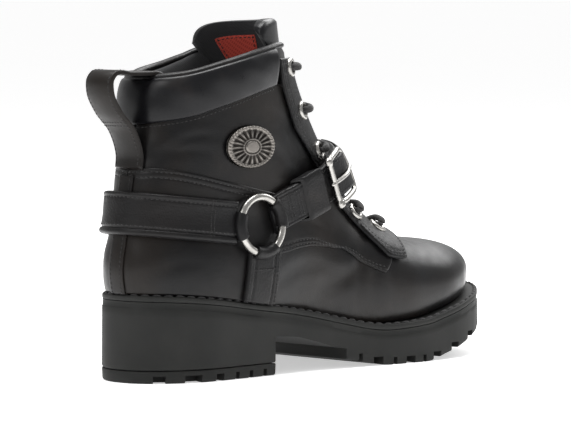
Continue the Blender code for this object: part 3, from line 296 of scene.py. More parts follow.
@dataclass(frozen=True)
class Last:
    """The form the boot is made on: a foot and a leg, blended, and the rays that find its wall."""

    sole_length: float = 276 * MM
    ball_width: float = 98 * MM
    heel_back: float = -42 * MM
    seat_height: float = 46.5 * MM
    overhang: float = 3.6 * MM
    feather_gap: float = 0.6 * MM
    boot_height: float = 176 * MM
    ankle_width: float = 68 * MM
    toe_height: float = 65.5 * MM
    blend: float = 13 * MM
    throat_width: float = 48 * MM
    plan_power: float = 2.3
    heel_round: float = 0.17
    toe_round: float = 0.18
    foot_power: float = 2.3
    foot_widest: float = 0.30
    foot_undercut: float = 2.3
    foot_toe_round: float = 0.20
    leg_power: float = 2.1
    collar_share: float = 0.26
    collar_sweep: float = math.radians(150)
    throat_lean: float = math.radians(78)
    tables: dict = field(default_factory=lambda: {
        "outer": smooth(SOLE_PLAN, 1), "inner": smooth(SOLE_PLAN, 2),
        "welt": smooth(SOLE_SIDE, 1), "tread": smooth(SOLE_SIDE, 2),
        "foot": smooth(FOOT_TOP, 1), "back": smooth(LEG, 1), "front": smooth(LEG, 2),
        "half": smooth(LEG, 3), "top_outer": smooth(TOPLINE, 1),
        "top_inner": smooth(TOPLINE, 2), "throat": smooth(THROAT, 1),
    })

    @property
    def leg_axis(self) -> float:
        """x of the upright line that the leg's rays start from."""
        return self.heel_back + 0.245 * self.sole_length

    def station(self, x: Array) -> Array:
        """Share of the sole's length at x."""
        return (np.asarray(x) - self.heel_back) / self.sole_length

    def welt_top(self, x: Array) -> Array:
        """Height of the welt's upper face."""
        return self.seat_height * self.tables["welt"](self.station(x))

    def tread_bottom(self, x: Array) -> Array:
        """Height of the tread's lower face."""
        return self.seat_height * self.tables["tread"](self.station(x))

    def ends(self, share: Array) -> Array:
        """How much the plan is rounded in: 1 in the middle, 0 at both tips, by powers.

        Args:
            share: Share of the sole's length.

        Returns:
            The factor on the half width.
        """
        heel = np.clip((self.heel_round - share) / self.heel_round, 0, 1)
        toe = np.clip((share - 1 + self.toe_round) / self.toe_round, 0, 1)
        left = 1 - heel ** self.plan_power - toe ** self.plan_power
        return np.clip(left, 0, 1) ** (1 / self.plan_power)

    def plan_half(self, share: Array, side: Side) -> Array:
        """Half width of the sole before its ends are rounded."""
        return self.tables[side.label](share) * self.ball_width

    def plan_ring(self, count: int, inset: float) -> Array:
        """Outline of the sole: heel point, outer side, toe point, inner side.

        Args:
            count: Steps along one side.
            inset: How far in from the outline the ring lies.

        Returns:
            Twice count points in plan.
        """
        share = (1 - np.cos(np.linspace(0, math.pi, count + 1))) / 2
        x = self.heel_back + share * self.sole_length
        outer = np.stack([x, -self.plan_half(share, Side.OUTER) * self.ends(share)], 1)
        inner = np.stack([x, self.plan_half(share, Side.INNER) * self.ends(share)], 1)
        ring = np.concatenate([outer, inner[-2:0:-1]])
        along = unit(np.roll(ring, -1, 0) - np.roll(ring, 1, 0))
        return ring - inset * np.stack([along[:, 1], -along[:, 0]], 1)

    def foot_norm(self, x: Array, y: Array, z: Array) -> Array:
        """Under 1 inside the foot: powers of the shares across, up and into both ends, summed.

        Args:
            x: Place along the foot.
            y: Place across it, minus on the outer side.
            z: Height.

        Returns:
            The norm at each place.
        """
        back = self.heel_back + self.overhang
        length = self.sole_length - 2 * self.overhang
        place = (x - back) / length
        share = np.clip(place, 0, 1)
        width = np.where(y < 0, self.tables["outer"](share), self.tables["inner"](share))
        half = width * self.ball_width - self.overhang
        floor = self.welt_top(x)
        top = self.toe_height * self.tables["foot"](share)
        middle = floor + self.foot_widest * (top - floor)
        above = (z - middle) / (top - middle)
        below = (middle - z) / ((middle - floor) * self.foot_undercut)
        high = np.where(z > middle, above, below)
        heel = np.clip((self.heel_round - place) / self.heel_round, 0, None)
        toe = np.clip((place - 1 + self.foot_toe_round) / self.foot_toe_round, 0, None)
        power = self.foot_power
        total = np.abs(y / half) ** power + high ** power + heel ** power + toe ** power
        return total ** (1 / power)

    def leg_norm(self, x: Array, y: Array, z: Array) -> Array:
        """Under 1 inside the leg: level rounded sections that lean and taper with height.

        Args:
            x: Place along the foot.
            y: Place across it.
            z: Height, which picks the section.

        Returns:
            The norm at each place.
        """
        share = z / self.boot_height
        back = self.heel_back + self.sole_length * self.tables["back"](share)
        front = self.heel_back + self.sole_length * self.tables["front"](share)
        half = self.ankle_width * self.tables["half"](share)
        ahead = np.abs((x - (back + front) / 2) / ((front - back) / 2))
        power = self.leg_power
        return (ahead ** power + np.abs(y / half) ** power) ** (1 / power)

    def true_length(self, norm: Callable, points: Array) -> Array:
        """Turn a form's norm into a distance: the norm less 1, over its slope.

        Args:
            norm: The form's norm as a function of x, y and z.
            points: Where it is wanted.

        Returns:
            The distance outside the form at each point.
        """
        x, y, z = points[..., 0], points[..., 1], points[..., 2]
        h = FIELD_STEP
        dx = norm(x + h, y, z) - norm(x - h, y, z)
        dy = norm(x, y + h, z) - norm(x, y - h, z)
        dz = norm(x, y, z + h) - norm(x, y, z - h)
        steep = np.sqrt(dx ** 2 + dy ** 2 + dz ** 2) / (2 * h)
        return (norm(x, y, z) - 1) / np.maximum(steep, 1)

    def distance(self, points: Array) -> Array:
        """Distance outside the upper: the lesser of foot and leg, with a smooth blend between.

        Args:
            points: Where it is wanted.

        Returns:
            The distance, below 0 inside.
        """
        foot = self.true_length(self.foot_norm, points)
        leg = self.true_length(self.leg_norm, points)
        mix = np.clip(0.5 + 0.5 * (leg - foot) / self.blend, 0, 1)
        return leg * (1 - mix) + foot * mix - self.blend * mix * (1 - mix)

    def normals(self, points: Array) -> Array:
        """Unit directions straight out of the form: the distance's slope along each axis."""
        steps = FIELD_STEP * np.eye(3)
        slope = [self.distance(points + s) - self.distance(points - s) for s in steps]
        return unit(np.stack(slope, -1))

    def cast(self, origin: Array, direction: Array, level: Any) -> Array:
        """First point of each ray, from inside, that lies a level out from the form.

        Halves the bracket eight times, then closes on the level along the chord three times.

        Args:
            origin: Ray starts inside the form.
            direction: Ray directions, of any length.
            level: Distance out from the form, one for all or one for each.

        Returns:
            The points, in the shape of the rays.
        """
        rays = np.asarray(origin, float), np.asarray(direction, float)
        origin, direction = np.broadcast_arrays(*rays)
        direction = unit(direction)
        level = np.broadcast_to(level, origin.shape[:-1])
        near = np.zeros(origin.shape[:-1])
        far = np.full(origin.shape[:-1], FAR)
        for _ in range(8):
            middle = (near + far) / 2
            inside = self.distance(origin + middle[..., None] * direction) < level
            near = np.where(inside, middle, near)
            far = np.where(inside, far, middle)
        low = self.distance(origin + near[..., None] * direction) - level
        high = self.distance(origin + far[..., None] * direction) - level
        for _ in range(3):
            step = near - low * (far - near) / np.maximum(high - low, 1e-9)
            step = np.clip(step, near, far)
            value = self.distance(origin + step[..., None] * direction) - level
            inside = value < 0
            near, low = np.where(inside, step, near), np.where(inside, value, low)
            far, high = np.where(inside, far, step), np.where(inside, high, value)
        step = near - low * (far - near) / np.maximum(high - low, 1e-9)
        return origin + np.clip(step, near, far)[..., None] * direction

    def throat_ray(self, t: Array) -> tuple:
        """Start and direction, in the middle plane, of the ray that meets the throat.

        Args:
            t: Share down the throat from its top.

        Returns:
            Ray starts, and directions that lean up further down the throat.
        """
        t = np.asarray(t, float)
        x = self.heel_back + (0.26 + 0.44 * t) * self.sole_length
        z = (0.975 - 0.725 * t) * self.boot_height
        lean = np.clip(t, 0, 1) ** 1.3 * self.throat_lean
        return np.stack([x, 0 * x, z], -1), np.stack([np.cos(lean), 0 * x, np.sin(lean)], -1)

    def throat_fan(self, t: Array, angle: Array) -> tuple:
        """Rays that turn from the middle plane towards a side.

        Args:
            t: Share down the throat.
            angle: Turn from the middle plane, above 0 towards the inner side.

        Returns:
            Ray starts and directions.
        """
        origin, ahead = self.throat_ray(np.broadcast_to(t, angle.shape))
        sideways = np.array([0, 1.0, 0])
        return origin, ahead * np.cos(angle)[..., None] + sideways * np.sin(angle)[..., None]

    def across_throat(self, t: Array, reach: Array, side: Side) -> Array:
        """Fan angles whose rays meet the form at given runs from the throat's edge.

        Args:
            t: Shares down the throat.
            reach: Runs over the form from the throat's edge.
            side: The side of the foot.

        Returns:
            An angle for each share and run.
        """
        sweep = np.radians(np.linspace(0, 100, 101))
        grid = np.broadcast_to(side.value * sweep, (len(t), len(sweep)))
        points = self.cast(*self.throat_fan(t[:, None], grid), 0.0)
        steps = np.linalg.norm(np.diff(points, axis=1), axis=-1)
        run = np.concatenate([np.zeros((len(t), 1)), np.cumsum(steps, 1)], 1)
        reach = np.broadcast_to(reach, (len(t), np.shape(reach)[-1]))
        gap = self.throat_width * self.tables["throat"](t)
        starts = [np.interp(gap[i], np.abs(points[i, :, 1]), run[i]) for i in range(len(t))]
        angle = [np.interp(starts[i] + reach[i], run[i], sweep) for i in range(len(t))]
        return side.value * np.array(angle)

    def collar_ray(self, share: Array, side: Side) -> tuple:
        """The level ray that meets the topline at a share around.

        Args:
            share: Share from the back to the throat.
            side: The side of the foot.

        Returns:
            Ray starts and directions.
        """
        share = np.asarray(share, float)
        turn = share * self.collar_sweep
        height = self.tables["top_" + side.label](share) * self.boot_height
        origin = np.stack([self.leg_axis + 0 * share, 0 * share, height], -1)
        return origin, np.stack([-np.cos(turn), side.value * np.sin(turn), 0 * share], -1)

    def level_ray(self, turn: Array, z: Array, side: Side) -> tuple:
        """Start and direction of a level ray from the leg's axis: turn 0 points back."""
        origin = np.stack([self.leg_axis + 0 * z, 0 * z, z], -1)
        return origin, np.stack([-np.cos(turn), side.value * np.sin(turn), 0 * z], -1)

    def top_edge(self, u: Array, side: Side) -> tuple:
        """Ray starts and wall points along the topline and down the throat.

        Args:
            u: Share around the upper from the heel, 0.5 at the toe.
            side: The side of the foot.

        Returns:
            Ray starts and the points that they meet.
        """
        collar_from, collar_to = self.collar_ray(np.clip(u / self.collar_share, 0, 1), side)
        t = np.clip((u - self.collar_share) / (0.5 - self.collar_share), 0, 1)
        throat_from, throat_to = self.throat_ray(t)
        gap = side.value * self.throat_width * self.tables["throat"](t)
        shifted = throat_from + np.stack([0 * gap, gap, 0 * gap], -1)
        on_collar = (u <= self.collar_share)[:, None]
        start = np.where(on_collar, collar_from, throat_from)
        point = np.where(on_collar, self.cast(collar_from, collar_to, 0.0),
                         self.cast(shifted, throat_to, 0.0))
        return start, point

    def feather_edge(self, u: Array, side: Side) -> tuple:
        """Ray starts and wall points where the upper meets the welt.

        Args:
            u: Share around the upper from the heel, 0.5 at the toe.
            side: The side of the foot.

        Returns:
            Ray starts and the points that they meet.
        """
        share = (1 - np.cos(2 * math.pi * u)) / 2
        x = self.heel_back + self.overhang + share * (self.sole_length - 2 * self.overhang)
        y = side.value * (self.plan_half(share, side) - self.overhang) * self.ends(share)
        start_x = self.heel_back + (0.12 + 0.63 * share) * self.sole_length
        z = self.welt_top(x) + self.feather_gap
        for _ in range(3):
            start = np.stack([start_x, 0 * x, z], -1)
            point = self.cast(start, np.stack([x - start_x, y, 0 * x], -1), 0.0)
            z = self.welt_top(point[..., 0]) + self.feather_gap
        return start, point

    def wall(self, u: Array, v: Array, side: Side, level: float) -> Array:
        """Wall points, ruled from the feather line to the top edge and cast on the form.

        Args:
            u: Shares around one side from the heel.
            v: Shares up from the feather line.
            side: The side of the foot.
            level: Distance out from the form.

        Returns:
            A grid of points.
        """
        low_start, low_point = self.feather_edge(u, side)
        top_start, top_point = self.top_edge(u, side)
        v = v[None, :, None]
        start = low_start[:, None] * (1 - v) + top_start[:, None] * v
        aim = low_point[:, None] * (1 - v) + top_point[:, None] * v
        points = self.cast(start, aim - start, level)
        floor = self.welt_top(points[..., 0]) + self.feather_gap
        points[..., 2] = np.maximum(points[..., 2], floor)
        return points


class Socket:
    """A value in a material that turns sums written in Python into Math nodes."""

    def __init__(self, shader: "Shader", source: Any) -> None:
        """Keep the shader it belongs to and the node output it stands for."""
        self.shader = shader
        self.source = source

    def __add__(self, other: Any) -> "Socket":
        """This value plus another."""
        return self.shader.math("ADD", self, other)

    def __radd__(self, other: Any) -> "Socket":
        """Another value plus this."""
        return self.shader.math("ADD", other, self)

    def __sub__(self, other: Any) -> "Socket":
        """This value less another."""
        return self.shader.math("SUBTRACT", self, other)

    def __rsub__(self, other: Any) -> "Socket":
        """Another value less this."""
        return self.shader.math("SUBTRACT", other, self)

    def __mul__(self, other: Any) -> "Socket":
        """This value times another."""
        return self.shader.math("MULTIPLY", self, other)

    def __rmul__(self, other: Any) -> "Socket":
        """Another value times this."""
        return self.shader.math("MULTIPLY", other, self)

    def __pow__(self, other: Any) -> "Socket":
        """This value to a power."""
        return self.shader.math("POWER", self, other)

    def step(self, low: float, high: float) -> "Socket":
        """0 below low, 1 above high and a smooth rise between."""
        settings = {"interpolation_type": "SMOOTHSTEP"}
        inputs = {"Value": self, "From Min": low, "From Max": high}
        return self.shader.node("ShaderNodeMapRange", settings, inputs)


class Shader:
    """A material under construction around one Principled shader."""

    def __init__(self, name: str) -> None:
        """Start an empty material with a shader and its output.

        Args:
            name: The material's name.
        """
        self.material = bpy.data.materials.new(name)
        self.material.use_nodes = True
        self.tree = self.material.node_tree
        self.tree.nodes.clear()
        self.surface = self.tree.nodes.new("ShaderNodeBsdfPrincipled")
        output = self.tree.nodes.new("ShaderNodeOutputMaterial")
        self.tree.links.new(self.surface.outputs[0], output.inputs["Surface"])

    def node(self, kind: str, settings: dict, inputs: dict, output: Any = 0) -> Socket:
        """Add any node.

        Args:
            kind: The node's type.
            settings: Its settings by name, set before its sockets.
            inputs: Values or sockets by input name or number.
            output: Name or number of the output that is wanted.

        Returns:
            The wanted output.
        """
        node = self.tree.nodes.new(kind)
        for name, value in settings.items():
            setattr(node, name, value)
        for name, value in inputs.items():
            self.feed(node.inputs[name], value)
        return Socket(self, node.outputs[output])

    def feed(self, target: Any, value: Any) -> None:
        """Link a socket to an input, or set the input's own value.

        Args:
            target: The input.
            value: A socket or a plain value.
        """
        if isinstance(value, Socket):
            self.tree.links.new(value.source, target)
        else:
            target.default_value = value

    def math(self, operation: str, *values: Any) -> Socket:
        """One Math node on the given values."""
        return self.node("ShaderNodeMath", {"operation": operation}, dict(enumerate(values)))

    def set(self, **values: Any) -> None:
        """Feed the surface's inputs; an underscore stands for a space."""
        for name, value in values.items():
            self.feed(self.surface.inputs[name.replace("_", " ")], value)

    def place(self) -> Socket:
        """The object's own coordinates in metres."""
        return self.node("ShaderNodeTexCoord", {}, {}, "Object")

    def part(self, vector: Socket, axis: str) -> Socket:
        """One axis of a vector."""
        return self.node("ShaderNodeSeparateXYZ", {}, {0: vector}, axis)

    def noise(self, scale: float, detail: float = 2.0, where: Optional[Socket] = None) -> Socket:
        """Noise between 0 and 1 with so many features to the metre."""
        inputs = {"Vector": where or self.place(), "Scale": scale, "Detail": detail}
        return self.node("ShaderNodeTexNoise", {}, inputs, "Fac")

    def cells(self, scale: float, feature: str = "F1", where: Optional[Socket] = None) -> Socket:
        """Distance inside rounded cells, so many to the metre."""
        inputs = {"Vector": where or self.place(), "Scale": scale}
        return self.node("ShaderNodeTexVoronoi", {"feature": feature}, inputs, "Distance")

    def blend(self, factor: Any, first: Any, second: Any) -> Socket:
        """Mix two colours."""
        inputs = {0: factor, 6: colour4(first), 7: colour4(second)}
        return self.node("ShaderNodeMix", {"data_type": "RGBA"}, inputs, 2)

    def bump(self, height: Socket, distance: float, strength: float = 1.0) -> None:
        """Let a height between 0 and 1 push the surface's normal, over a depth in metres."""
        inputs = {"Height": height, "Distance": distance, "Strength": strength}
        self.set(Normal=self.node("ShaderNodeBump", {}, inputs, "Normal"))


def colour4(value: Any) -> Any:
    """Add alpha to a plain colour and leave a socket as it is."""
    return value if isinstance(value, Socket) else (*value, 1.0)


@dataclass(frozen=True)
class Leather:
    """Finished leather: two tones in clouds, pores or pebbles, and lighter patches of painted
    sheen and wear.
    """

    name: str
    dark: tuple = (0.0045, 0.0045, 0.005)
    warm: tuple = (0.010, 0.0078, 0.0065)
    # Lighter tone of the patches: partly painted sheen, partly wear.
    sheen_and_wear: tuple = (0.022, 0.018, 0.016)
    pebble: float = 1500.0
    depth: float = 0.05 * MM
    roughness: float = 0.36
    coat: float = 0.05
    shine: float = 0.20

    def make(self) -> bpy.types.Material:
        """Clouds choose the tone, cells and noise make the grain, and both vary the gloss.

        Returns:
            The material.
        """
        shader = Shader(self.name)
        clouds = shader.noise(22, 3).step(0.35, 0.68)
        grain = 1 - shader.cells(self.pebble).step(0.0, 0.75)
        fine = shader.noise(self.pebble * 1.7, 3)
        wrinkle = shader.noise(150, 5).step(0.30, 0.75)
        tone = shader.blend(clouds, self.dark, self.warm)
        # Random lighter patches over the tone: partly painted sheen, partly wear.
        sheen_and_wear_mask = shader.noise(60, 4).step(0.55, 0.80) * 0.35
        shader.set(Base_Color=shader.blend(sheen_and_wear_mask, tone, self.sheen_and_wear))
        gloss = self.roughness + (wrinkle - 0.5) * 0.10 + (fine - 0.5) * 0.12
        shader.set(Roughness=gloss, Coat_Weight=self.coat, Coat_Roughness=0.28)
        shader.set(Specular_IOR_Level=self.shine)
        height = grain * 0.55 + fine * 0.25 + wrinkle * 0.9
        shader.bump(height, self.depth)
        return shader.material


@dataclass(frozen=True)
class Rubber:
    """Moulded sole rubber: dusty grey-black with a matt, faintly pitted skin."""

    name: str
    dark: tuple = (0.0085, 0.009, 0.0085)
    dust: tuple = (0.020, 0.020, 0.0185)

    def make(self) -> bpy.types.Material:
        """Clouds and a fine speckle mix the two greys; the speckle also roughens the skin.

        Returns:
            The material.
        """
        shader = Shader(self.name)
        clouds = shader.noise(35, 4).step(0.25, 0.80)
        speckle = shader.noise(1900, 2)
        tone = shader.blend(clouds * 0.55 + speckle * 0.25, self.dark, self.dust)
        shader.set(Base_Color=tone, Roughness=0.56 + speckle * 0.16, Specular_IOR_Level=0.26)
        shader.bump(speckle * 0.6 + shader.noise(420, 3) * 0.6, 0.06 * MM)
        return shader.material


@dataclass(frozen=True)
class Metal:
    """Plated metal: clear or antiqued, with soft smudges and hairline scratches."""

    name: str
    bright: tuple = (0.42, 0.41, 0.39)
    tarnish: tuple = (0.16, 0.15, 0.14)
    roughness: float = 0.22
    relief: bool = False

    def make(self) -> bpy.types.Material:
        """Smudges dull the plate; where the piece has a depth attribute, hollows go dark.

        Returns:
            The material.
        """
        shader = Shader(self.name)
        smudge = shader.noise(130, 4).step(0.35, 0.80)
        tone = shader.blend(smudge * 0.45, self.bright, self.tarnish)
        if self.relief:
            settings = {"attribute_name": "hollow"}
            hollow = shader.node("ShaderNodeAttribute", settings, {}, "Fac").step(0.15, 0.85)
            tone = shader.blend(hollow, tone, (0.020, 0.018, 0.016))
        scratch = shader.noise(900, 2)
        shader.set(Base_Color=tone, Metallic=1.0)
        shader.set(Roughness=self.roughness + smudge * 0.12 + scratch * 0.05)
        shader.bump(scratch, 0.015 * MM)
        return shader.material


@dataclass(frozen=True)
class Cloth:
    """Woven or knitted lining on object coordinates, or braided cord on the piece's own map."""

    name: str
    dark: tuple = (0.008, 0.008, 0.009)
    light: tuple = (0.030, 0.030, 0.032)
    threads: float = 1700.0
    braided: bool = False

    def make(self) -> bpy.types.Material:
        """Two crossing waves make the threads: the higher of the two stands on top.

        Returns:
            The material.
        """
        shader = Shader(self.name)
        if self.braided:
            where = shader.node("ShaderNodeTexCoord", {}, {}, "UV")
            along, around = shader.part(where, "X"), shader.part(where, "Y")
            first, second = along + around * 4, along - around * 4
            turn = 2 * math.pi
        else:
            where = shader.place()
            x, y, z = (shader.part(where, axis) for axis in "XYZ")
            first, second = x + z, y * 1.2 + z - x
            turn = self.threads * math.pi
        ribs = [shader.math("SINE", value * turn) * 0.5 + 0.5 for value in (first, second)]
        height = shader.math("MAXIMUM", *ribs)
        fuzz = shader.noise(2600, 3)
        shader.set(Base_Color=shader.blend(height * 0.55 + fuzz * 0.3, self.dark, self.light))
        shader.set(Roughness=0.75 + fuzz * 0.2, Sheen_Weight=0.15, Sheen_Roughness=0.5)
        shader.bump(height * 0.8 + fuzz * 0.3, 0.12 * MM)
        return shader.material


@dataclass(frozen=True)
class Floor:
    """Pale seamless studio floor."""

    name: str = "studio_floor"

    def make(self) -> bpy.types.Material:
        """Near-white paint with a faint cloudiness, lit a little from behind.

        Returns:
            The material.
        """
        shader = Shader(self.name)
        clouds = shader.noise(1.2, 2)
        shader.set(Base_Color=shader.blend(clouds, (0.93, 0.93, 0.93), (0.95, 0.95, 0.95)))
        shader.set(Roughness=0.7 + clouds * 0.1, Emission_Color=(1.0, 1.0, 1.0, 1.0))
        shader.set(Emission_Strength=0.50)
        return shader.material


@dataclass
class Finishes:
    """Every material of the boot, made once."""

    upper: Any = Leather("upper_leather_black", coat=0.04, roughness=0.36)
    vamp: Any = Leather("vamp_leather_black", roughness=0.36, coat=0.05, shine=0.26,
                        warm=(0.0085, 0.0064, 0.0052))
    pad: Any = Leather("pad_leather_black", roughness=0.33, depth=0.03 * MM, shine=0.21,
                       dark=(0.004, 0.004, 0.005), warm=(0.005, 0.005, 0.006), coat=0.06)
    strap: Any = Leather("strap_leather_pebbled", pebble=850.0, depth=0.14 * MM,
                         roughness=0.42, dark=(0.005, 0.005, 0.0055), warm=(0.008, 0.007, 0.007))
    loop: Any = Leather("loop_leather_brown", dark=(0.005, 0.004, 0.0035),
                        warm=(0.010, 0.0075, 0.006), roughness=0.44, pebble=1100.0)
    lining: Any = Cloth("lining_cloth_black")
    rubber: Any = Rubber("sole_rubber_grey")
    nickel: Any = Metal("nickel_bright")
    antique: Any = Metal("silver_antique", bright=(0.20, 0.185, 0.17), roughness=0.34, relief=True)
    cord: Any = Cloth("lace_cord_black", dark=(0.007, 0.007, 0.008), light=(0.034, 0.032, 0.031),
                      braided=True)
    thread: Any = Cloth("thread_black", dark=(0.004, 0.004, 0.0045), light=(0.013, 0.012, 0.012),
                        threads=3200.0)
    red: Any = Cloth("label_cloth_red", dark=(0.22, 0.012, 0.008), light=(0.62, 0.075, 0.045),
                     threads=900.0)
    floor: Any = Floor()

    def __post_init__(self) -> None:
        """Turn each finish into its material."""
        for name, finish in list(vars(self).items()):
            setattr(self, name, finish.make())


def grid_quads(rows: int, columns: int, around: bool = False, across: bool = False) -> Array:
    """Quads of a grid of points.

    Args:
        rows: Rows of the grid.
        columns: Its columns.
        around: True where the last row meets the first.
        across: True where the last column meets the first.

    Returns:
        Four vertex numbers a face.
    """
    i = np.arange(rows if around else rows - 1)[:, None]
    j = np.arange(columns if across else columns - 1)[None]
    k, n = (i + 1) % rows, (j + 1) % columns
    quads = np.stack([i * columns + j, k * columns + j, k * columns + n, i * columns + n], -1)
    return quads.reshape(-1, 4)


def stack_faces(rings: int, total: int) -> list:
    """Faces of a stack of rings, closed at its first and last ring by strips across.

    Args:
        rings: How many rings are stacked.
        total: Points in each, with the two tips at 0 and half the total.

    Returns:
        The faces as lists of vertex numbers.
    """
    faces = grid_quads(rings, total, across=True).tolist()
    i = np.arange(total // 2)
    strip = np.stack([i, i + 1, total - i - 1, (total - i) % total], 1)
    for base in (0, (rings - 1) * total):
        faces += [list(dict.fromkeys((base + row).tolist())) for row in strip]
    return faces


def make_piece(name: str, points: Array, faces: Sequence, materials: Sequence,
               which: Optional[Array] = None) -> bpy.types.Object:
    """Make a mesh object at the origin whose faces point out.

    Args:
        name: The piece's name.
        points: Its vertices.
        faces: Its faces, each a run of vertex numbers.
        materials: Its materials in order.
        which: The material number of each face, if there is more than one.

    Returns:
        The new object.
    """
    mesh = bpy.data.meshes.new(name)
    mesh.from_pydata(np.asarray(points).reshape(-1, 3), [], [list(map(int, f)) for f in faces])
    for material in materials:
        mesh.materials.append(material)
    if which is not None:
        mesh.polygons.foreach_set("material_index", np.asarray(which, np.int32))
    work = bmesh.new()
    work.from_mesh(mesh)
    bmesh.ops.recalc_face_normals(work, faces=work.faces)
    work.to_mesh(mesh)
    work.free()
    mesh.shade_smooth()
    mesh.set_sharp_from_angle(angle=math.radians(50))
    piece = bpy.data.objects.new(name, mesh)
    bpy.context.scene.collection.objects.link(piece)
    return piece


def fit(piece: bpy.types.Object, slot: str, *nodes: str) -> bpy.types.Object:
    """Make a piece ride with the boot and hide the solids it stands for.

    Args:
        piece: The finished piece.
        slot: Not used.
        nodes: The solids that it stands for.

    Returns:
        The piece.
    """
    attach(piece, "root")
    if nodes:
        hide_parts(*nodes)
    LOG.info("%s: %d faces", piece.name, len(piece.data.polygons))
    return piece


class Panel:
    """A strip of leather on a grid: its under face, the way out, and its height everywhere."""

    def __init__(self, base: Array, out: Array, thickness: Any, radius: float = 1.0 * MM,
                 wall: float = 0.35) -> None:
        """Round the borders: the height rises as a quarter circle over the radius.

        Args:
            base: Grid of points of the under face.
            out: Unit directions out, one for each point.
            thickness: Height of the upper face, one for all or one for each point.
            radius: How far in from a border the rounding reaches.
            wall: Share of the thickness that stands straight at the border.
        """
        self.base = base
        self.out = out
        runs = [self.run_from(border) for border in Border]
        near = np.clip(np.minimum.reduce(runs) / radius, 0, 1)
        self.height = thickness * (wall + (1 - wall) * np.sqrt(1 - (1 - near) ** 2))

    def run_from(self, border: Border) -> Array:
        """Length over the base from one border to every point, along the grid's lines.

        Args:
            border: The border it starts from.

        Returns:
            A length for each point.
        """
        axis, last = border.value
        steps = np.linalg.norm(np.diff(self.base, axis=axis), axis=-1)
        zero = np.zeros_like(np.take(steps, [0], axis))
        run = np.concatenate([zero, np.cumsum(steps, axis)], axis)
        return np.take(run, [-1], axis) - run if last else run

    def dent(self, border: Border, inset: float, depth: float, width: float) -> None:
        """Press a soft channel, or raise a ridge with a negative depth, along a border."""
        self.height = self.height - depth * bell((self.run_from(border) - inset) / width)

    @property
    def top(self) -> Array:
        """Grid of points of the upper face."""
        return self.base + self.out * self.height[..., None]

    def line(self, border: Border, inset: float, first: float = 0.0, last: float = 1.0) -> tuple:
        """Points and directions out along a line that keeps its distance from a border.

        Args:
            border: The border it follows.
            inset: Its distance from the border.
            first: Share along the border where the line starts.
            last: Share along the border where it ends.

        Returns:
            Points on the upper face and the directions out there.
        """
        axis, at_end = border.value
        run = self.run_from(border)
        top, out = self.top, self.out
        if axis == 0:
            run, top, out = run.T, top.swapaxes(0, 1), out.swapaxes(0, 1)
        if at_end:
            run, top, out = run[:, ::-1], top[:, ::-1], out[:, ::-1]
        rows = np.arange(len(run))
        keep = rows[int(first * (len(run) - 1)):int(last * (len(run) - 1)) + 1]
        j = np.clip((run < inset).sum(1) - 1, 0, run.shape[1] - 2)[keep]
        part = ((inset - run[keep, j]) / (run[keep, j + 1] - run[keep, j]))[:, None]
        points = top[keep, j] * (1 - part) + top[keep, j + 1] * part
        return points, unit(out[keep, j] * (1 - part) + out[keep, j + 1] * part)

    def piece(self, name: str, *materials: Any) -> bpy.types.Object:
        """Close the under and upper faces into one solid; a second material goes underneath.

        Args:
            name: The piece's name.
            materials: Its materials, the upper face's first.

        Returns:
            The new object.
        """
        rows, columns = self.base.shape[:2]
        count = rows * columns
        quads = grid_quads(rows, columns)
        ring = np.concatenate([np.arange(rows) * columns,
                               (rows - 1) * columns + np.arange(1, columns),
                               np.arange(rows - 2, -1, -1) * columns + columns - 1,
                               np.arange(columns - 2, 0, -1)])
        after = np.roll(ring, -1)
        edge = np.stack([ring, after, count + after, count + ring], 1)
        faces = np.concatenate([quads, count + quads, edge])
        which = np.zeros(len(faces), int)
        if len(materials) > 1:
            which[:len(quads)] = 1
        points = np.concatenate([self.base.reshape(-1, 3), self.top.reshape(-1, 3)])
        return make_piece(name, points, faces, materials, which)


